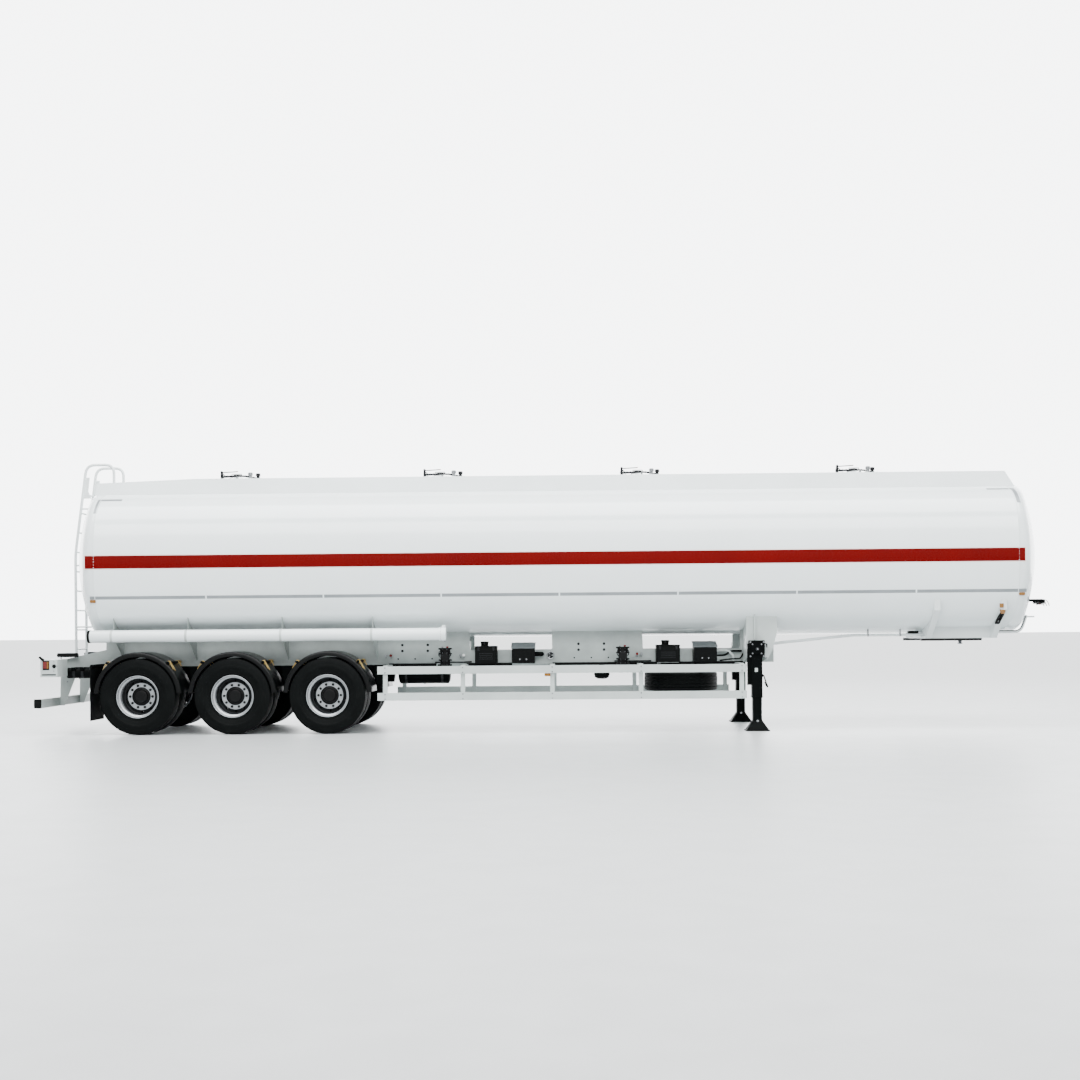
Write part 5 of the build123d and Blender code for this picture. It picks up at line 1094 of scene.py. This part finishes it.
head_low, head_high = tank_top_z - 0.102, tank_top_z + 0.2
head_neck = (2 * head_low + head_high) / 3
head = [(stile_at(z) + reach, z) for z, reach in ((head_low, 0), (head_low, HEAD_FOOT), (head_neck, HEAD_ARM))]
head += [(stile_at(head_high) + reach, head_high) for reach in (HEAD_ARM, 0)]
for y in (-LADDER_Y, LADDER_Y):
    stile = [(STILE_X, y, STILE_FOOT_Z), (STILE_X, y, stile_bend_z), (stile_at(hoop_top_z), y, hoop_top_z)]
    stile += [(HOOP_FRONT_X, y, hoop_top_z), (HOOP_FRONT_X, y, crown_foot_z)]
    pipe(white, stile, STILE_R, HOOP_BEND, 20)
    foot_plate = ((0, 0), (0, 0.036), (0.005, 0.036), (0.007, 0.03), (0.007, 0))
    turned(white, foot_plate, (HOOP_FRONT_X, y, crown_foot_z), sides=28)
    slab(white, head, 1, y - HEAD_HALF_T, y + HEAD_HALF_T)
    for rise in (-0.885, 0, 0.815):
        stay_z = TANK_AXIS_Z + rise
        rod(white, (stile_at(stay_z), y, stay_z), (stile_at(stay_z) + 0.3, y, stay_z), RUNG_R)
rung_z = STILE_FOOT_Z + RUNG_PITCH / 2
while rung_z < stile_lean_z - RUNG_PITCH / 2:
    rod(white, (stile_at(rung_z), -LADDER_Y, rung_z), (stile_at(rung_z), LADDER_Y, rung_z), RUNG_R)
    rung_z += RUNG_PITCH
ladder = fit(ladder_kit, "ladder_and_hoops")
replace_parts(ladder["ladder_and_hoops", coupler_white_painted_shade.name], "ladder")

# Rear end: round lamps in black bezels, side lamps with rubber arms, end caps and a black bumper strip.
rear_kit = Kit()
white_lens = lens("clear_lens", "C9CCCE", "8F9396")
BEAM_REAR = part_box("rear_beam")[0][0]
BEAM_END_Y, LAMP_GAP = 1.2403, 0.0003
GUARD_PLATE_Y = 0.4365
LAMP_FACE = ((0, 0), (0, 0.048), (0.011, 0.048), (0.0125, 0.045), (0.014, 0))
LAMP_BEZEL = ((0, 0.0485), (0.0, 0.057), (0.012, 0.055), (0.014, 0.0495), (0.014, 0.0485))
END_CAP = (
    (0, 0), (0, 0.024), (0.003, 0.024), (0.005, 0.028), (0.007, 0.028), (0.008, 0.024), (0.006, 0.012),
    (0.006, 0),
)
for lamp_y, lamp_lens in ((0.895, white_lens), (1.02, red_lens), (1.145, amber_lens)):
    for side in (-1, 1):
        at = (BEAM_REAR - LAMP_GAP, side * lamp_y, 0.93)
        turned(rear_kit[lamp_lens], LAMP_FACE, at, (-1, 0, 0), 40)
        turned(rear_kit[box_black], LAMP_BEZEL, at, (-1, 0, 0), 40)
END_FITTINGS = (  # material, depth, low and high (x, z) corners, bevel
    (box_black, 0.0045, (-6.946, 0.905), (-6.852, 1.034), 0.001),
    (red_lens, 0.009, (-6.936, 0.925), (-6.888, 1.02), 0.002),
    (amber_lens, 0.009, (-6.886, 0.925), (-6.862, 1.02), 0.002),
    (box_black, 0.006, (-6.955, 0.832), (-6.76, 0.848), 0.001),
)
bright, rubber = rear_kit.forms(zinc, flap_rubber)
for side in (-1, 1):
    for material, depth, low, high, bevel in END_FITTINGS:
        side_block(rear_kit[material], side, BEAM_END_Y, BEAM_END_Y + depth, low, high, bevel)
    turned(rear_kit[box_black], END_CAP, (-6.785, side * BEAM_END_Y, 0.957), (0, side, 0))
    side_bolts(bright, side, BEAM_END_Y, ((-6.79, 1.02), (-6.79, 0.89), (-6.745, 0.957)), 0.006)
    arm = ((-6.93, side * 1.225, 1.035), (-6.965, side * 1.228, 1.06), (-6.995, side * 1.23, 1.085))
    sweep(rubber, rounded(arm, 0.03), bar(0.019, -0.014, 0.014), (0, 1, 0))
    side_block(rubber, side, 1.213, 1.2375, (-7.0745, 0.377), (-6.971, 0.503), 0.008)
    side_block(rubber, side, 0.56, 0.66, (-6.948, 1.072), (-6.66, 1.13), 0.01)
    for x in (-6.9, -6.7):
        rod(bright, (x, side * 0.61, 1.0475), (x, side * 0.61, 1.09), 0.009)
    plate_bolts = ((-6.87, 0.93), (-6.87, 0.72), (-6.72, 0.93), (-6.72, 0.99), (-6.83, 0.99))
    side_bolts(bright, side, GUARD_PLATE_Y, plate_bolts, 0.009)
rear = fit(rear_kit, "rear_fittings")
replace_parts(rear["rear_fittings", red_lens.name], "rear_lamps")

# Landing legs: gear case, head bolts, lashing ring, foot pins and plates, and the crank's grip.
leg_kit = Kit()
LEG_X, LEG_Y, LEG_HALF_W = 2.87, 1.05, 0.071
LEG_FACE_Y = LEG_Y + LEG_HALF_W
GEAR_DEPTH, GEAR_Z = 0.034, 1.12
RIB_Y = 1.02
rib_top = TANK_AXIS_Z - shoulder_at(RIB_Y, 0)[1] - 0.004
black, steel, bright, white = leg_kit.forms(frame_black, dark_steel, zinc, frame_white_painted_shade)
for side in (-1, 1):
    side_block(black, side, LEG_FACE_Y, LEG_FACE_Y + GEAR_DEPTH, (LEG_X - 0.08, 1.045), (LEG_X + 0.07, 1.2), 0.012)
    for form, near, far, radius, sides in ((steel, 0.03, 0.062, 0.024, 24), (bright, 0.06, 0.072, 0.013, 6)):
        start, end = ((LEG_X, side * (LEG_FACE_Y + reach), GEAR_Z) for reach in (near, far))
        rod(form, start, end, radius, sides)
    gear_bolts = [(LEG_X + x, z) for x in (-0.066, 0.056) for z in (1.06, 1.186)]
    side_bolts(bright, side, LEG_FACE_Y + GEAR_DEPTH, gear_bolts, 0.0075)
    side_bolts(bright, side, LEG_FACE_Y, [(LEG_X + x, z) for x in (-0.09, 0.09) for z in (1.02, 1.215)], 0.008)
    ring = ((0.106, 1.02, 1.19), (0.142, 1.02, 1.19), (0.142, 1.05, 1.13), (0.142, 1.08, 1.19), (0.106, 1.08, 1.19))
    pipe(steel, [(LEG_X + x, side * y, z) for x, y, z in ring], 0.007, 0.03)
    side_block(white, side, LEG_FACE_Y, LEG_FACE_Y + 0.0012, (2.838, 0.808), (2.878, 0.86), 0.0004)
    side_block(black, side, LEG_Y - 0.076, LEG_Y + 0.076, (LEG_X - 0.076, 0.455), (LEG_X + 0.076, 0.475), 0.004)
    rod(bright, (LEG_X, side * LEG_Y - 0.088, 0.135), (LEG_X, side * LEG_Y + 0.088, 0.135), 0.016, 20)
    side_block(black, side, LEG_Y - 0.145, LEG_Y + 0.145, (LEG_X - 0.165, 0.0), (LEG_X + 0.165, 0.016), 0.005)
    for lean in (-1, 1):
        web = [(LEG_X + lean * x, z) for x, z in ((0.06, 0.016), (0.15, 0.016), (0.15, 0.03), (0.066, 0.15))]
        slab(black, web, 1, side * LEG_Y - 0.006, side * LEG_Y + 0.006)
    side_block(white, side, 0.9787, RIB_Y, (2.843, 1.245), (2.861, rib_top))
rod(leg_kit[flap_rubber], (2.984, -LEG_Y, 0.668), (3.019, -LEG_Y, 0.597), 0.0145, 16)
block(black, (2.9405, -1.075, 0.735), (2.958, -1.025, 0.777), 0.004)
fit(leg_kit, "landing_leg_fittings")

# Side guards: bolts at the posts and plastic caps in the rails' ends.
guard_rail_kit = Kit()
for side in (-1, 1):
    for post_x in (-2.226, -1.16, 0.065, 1.278, 2.651):
        posts = [(post_x, middle + offset) for middle in (0.8665, 0.5045) for offset in (-0.032, 0.032)]
        side_bolts(guard_rail_kit[zinc], side, 1.2353, posts, 0.007)
    for low_x, high_x in ((-2.335, -2.33), (2.705, 2.71)):
        for low_z in (0.451, 0.813):
            low, high = (low_x, low_z), (high_x, low_z + 0.107)
            side_block(guard_rail_kit[flap_rubber], side, 1.204, 1.236, low, high)
fit(guard_rail_kit, "side_guard_fittings")

# Coupler: swing-arm marker lamps on the front saddle, plate bolts, junction box and conduit clips.
coupler_kit = Kit()
TIP_Y = flank_at(1.78 - TANK_AXIS_Z, 0)[0]
SWING_ARM = ((6.196, 0.905, 1.452), (6.198, 1.0, 1.508), (6.202, 1.125, 1.574))
SWING_LAMP = ((0, 0), (0, 0.03), (0.02, 0.036), (0.045, 0.043), (0.056, 0.04), (0.06, 0.026), (0.061, 0))
rubber, amber, film = coupler_kit.forms(flap_rubber, amber_lens, blank_white)
for side in (-1, 1):
    route = [Vector((x, side * y, z)) for x, y, z in SWING_ARM]
    for offset in (-0.02, 0.02):
        sweep(rubber, [point + Vector((offset, 0, 0)) for point in route], bar(0.011, -0.014, 0.014), (1, 0, 0))
    for share in (0.0, 0.42, 1.0):
        at, reach = route[0].lerp(route[2], share), Vector((0.03, 0.014, 0.016))
        block(rubber, at - reach, at + reach, 0.004)
    turned(amber, SWING_LAMP, route[2] + Vector((0.008, 0, 0)), (0.1, 0, 1))
    side_block(film, side, TIP_Y + 0.0006, TIP_Y + 0.012, (6.152, 1.653), (6.224, 1.725))
    side_block(amber, side, TIP_Y + 0.012, TIP_Y + 0.022, (6.159, 1.66), (6.217, 1.718), 0.003)
KINGPIN_X, PLATE_BOLTS, PLATE_BOLT_CIRCLE_R = 5.91, 12, 0.15
for x, y in circle(PLATE_BOLTS, PLATE_BOLT_CIRCLE_R):
    bolt(coupler_kit[dark_steel], (KINGPIN_X + x, y, 1.2448), (0, 0, -1), 0.009)
block(coupler_kit[box_black], (5.058, -0.535, 1.3182), (5.202, -0.455, 1.352), 0.004)
CLIP_Y, CLIP_Z = -0.495, 1.298
for x in (4.5, 4.95):
    hoop(coupler_kit[zinc], (x, CLIP_Y, CLIP_Z), 0.012, 0.0202, 0.023, 24)
    block(coupler_kit[zinc], (x - 0.012, CLIP_Y - 0.0015, CLIP_Z + 0.02), (x + 0.012, CLIP_Y + 0.0015, 1.3755), 0.0005)
# Air feed: a white sleeve and a black cable beside it, bent up to the couplings.
FEED_Y = -0.46
CABLE_Y = FEED_Y - 0.026
pipe(coupler_kit[coupler_white_painted_shade], ((6.198, FEED_Y, 1.33), (6.645, FEED_Y, 1.33), (6.72, FEED_Y, 1.545)), 0.0215, 0.09, 24)
pipe(rubber, ((6.205, CABLE_Y, 1.345), (6.636, CABLE_Y, 1.345), (6.708, CABLE_Y, 1.545)), 0.006, 0.09)
fit(coupler_kit, "coupler_fittings")

# Couplings: a folded bracket with two palm couplings, an electric socket and their levers.
coupling_kit = Kit()
low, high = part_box("couplings")
BRACKET_Z, BRACKET_REAR_X, BRACKET_FRONT_X = 1.781, 6.6, 6.94
SOCKET = ((0, 0), (0, 0.018), (0.006, 0.026), (0.04, 0.028), (0.048, 0.024), (0.052, 0))
SOCKET_CAP = ((0, 0), (0, 0.026), (0.012, 0.028), (0.018, 0.024), (0.02, 0))
black, steel = coupling_kit.forms(frame_black, dark_steel)
for rear_x, under in ((BRACKET_REAR_X, 0.004), (6.93, 0.06)):
    top = (BRACKET_FRONT_X, high[1], BRACKET_Z + 0.004)
    block(black, (rear_x, low[1], BRACKET_Z - under), top, 0.0015)
for y in (low[1], high[1] - 0.006):
    block(black, (BRACKET_REAR_X, y, 1.755), (BRACKET_FRONT_X, y + 0.006, BRACKET_Z), 0.0015)
for y, cap in ((-0.42, blank_white), (-0.3, signal_red), (-0.18, box_black)):
    rod(steel, (6.9, y, 1.748), (6.965, y, 1.748), 0.014, 20)
    turned(black, SOCKET, (6.975, y, 1.728), sides=28)
    turned(coupling_kit[cap], SOCKET_CAP, (6.972, y, 1.727), (0.25, 0, -1), 28)
    rod(coupling_kit[cap], (6.975, y, 1.772), (6.975, y, 1.786), 0.02, 20)
    lever = ((6.985, 1.77), (7.02, 1.772), (7.045, 1.745), (7.066, 1.69))
    pipe(steel, [(x, y + 0.02, z) for x, z in lever], 0.006, 0.03)
couplings = fit(coupling_kit, "front_couplings")
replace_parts(couplings["front_couplings", frame_black.name], "couplings")

# Side marker lamps: pale bezels behind the lenses.
marker_kit = Kit()
lamp_y = flank_at(1.845 - TANK_AXIS_Z, 0)[0]
for side in (-1, 1):
    for x in (-6.258, 6.457):
        low, high = (x - 0.047, 1.818), (x + 0.047, 1.869)
        side_block(marker_kit[blank_white], side, lamp_y - 0.004, lamp_y + 0.006, low, high)
fit(marker_kit, "marker_bezels")

# Camera and light
PHOTO_SIZE = 1080
PHOTO_HORIZON = 631
PHOTO_FACING_X = 575
FOCAL_PX = 1539
SENSOR_MM = 36
CAMERA_AT = Vector((0.38, -22.25, 1.39))
CAMERA_ROLL = math.radians(-0.45)

camera_data = bpy.data.cameras.new("camera")
camera_data.sensor_width = SENSOR_MM
camera_data.lens = SENSOR_MM * FOCAL_PX / PHOTO_SIZE
camera_data.shift_y = (PHOTO_HORIZON - PHOTO_SIZE / 2) / PHOTO_SIZE
camera = bpy.data.objects.new("camera", camera_data)
bpy.context.scene.collection.objects.link(camera)
turn = math.atan((PHOTO_FACING_X - PHOTO_SIZE / 2) / FOCAL_PX)
camera.matrix_world = (
    Matrix.Translation(CAMERA_AT)
    @ Matrix.Rotation(turn, 4, "Z")
    @ Matrix.Rotation(math.pi / 2, 4, "X")
    @ Matrix.Rotation(CAMERA_ROLL, 4, "Z")
)
bpy.context.scene.camera = camera


def softbox(name, at, aim, width, height, power):
    """Area light at a point, turned toward another."""
    data = bpy.data.lights.new(name, "AREA")
    data.shape = "RECTANGLE"
    data.size = width
    data.size_y = height
    data.energy = power
    light = bpy.data.objects.new(name, data)
    light.location = at
    light.rotation_euler = (Vector(aim) - Vector(at)).to_track_quat("-Z", "Y").to_euler()
    bpy.context.scene.collection.objects.link(light)


SOFTBOXES = (  # name, place, aim, width, height in metres, power in watts
    ("overhead", (0, -4, 13), (0, -1, 2.5), 24, 8, 6400),
    ("key", (0, -15, 11), (0, 0, 2.8), 22, 5, 3400),
    ("back", (0, 16, 10), (0, 0, 2), 22, 6, 1500),
)
for settings in SOFTBOXES:
    softbox(*settings)

# Pale studio walls: brightest behind the trailer's left side, dim in front of its right side and overhead.
WALL_STRENGTH = 7.0
NEAR_SHARE = 0.2
TOP_SHARE = 0.15
world = bpy.data.worlds.new("studio")
world.use_nodes = True
heading = add_node(world, "ShaderNodeTexCoord").outputs["Generated"]
split = add_node(world, "ShaderNodeSeparateXYZ", {"Vector": heading}).outputs
FADES = (  # direction, where the change starts and ends along it, first and last strength
    ("Y", -0.3, 0.7, NEAR_SHARE, 1.0),
    ("Z", 0.36, 0.62, WALL_STRENGTH, TOP_SHARE * WALL_STRENGTH),
)
shares = []
for axis, start, end, first, last in FADES:
    change = {"Value": split[axis], "From Min": start, "From Max": end, "To Min": first, "To Max": last}
    fade = add_node(world, "ShaderNodeMapRange", change, interpolation_type="SMOOTHSTEP")
    shares.append(fade.outputs["Result"])
strength = add_node(world, "ShaderNodeMath", dict(enumerate(shares)), operation="MULTIPLY")
backdrop = world.node_tree.nodes["Background"]
world.node_tree.links.new(strength.outputs["Value"], backdrop.inputs["Strength"])
backdrop.inputs["Color"].default_value = linear("FAFCFD")
bpy.context.scene.world = world

FLOOR_HALF_SIZE = 400
floor_mesh = bpy.data.meshes.new("floor")
floor_form = bmesh.new()
bmesh.ops.create_grid(floor_form, x_segments=1, y_segments=1, size=FLOOR_HALF_SIZE)
floor_form.to_mesh(floor_mesh)
floor = bpy.data.objects.new("floor", floor_mesh)
bpy.context.scene.collection.objects.link(floor)
floor_mesh.materials.append(finish("pale_studio_floor", "B4B8B9", "AFB3B4", 0.38, 0.02, grain=3, shine=1.0))
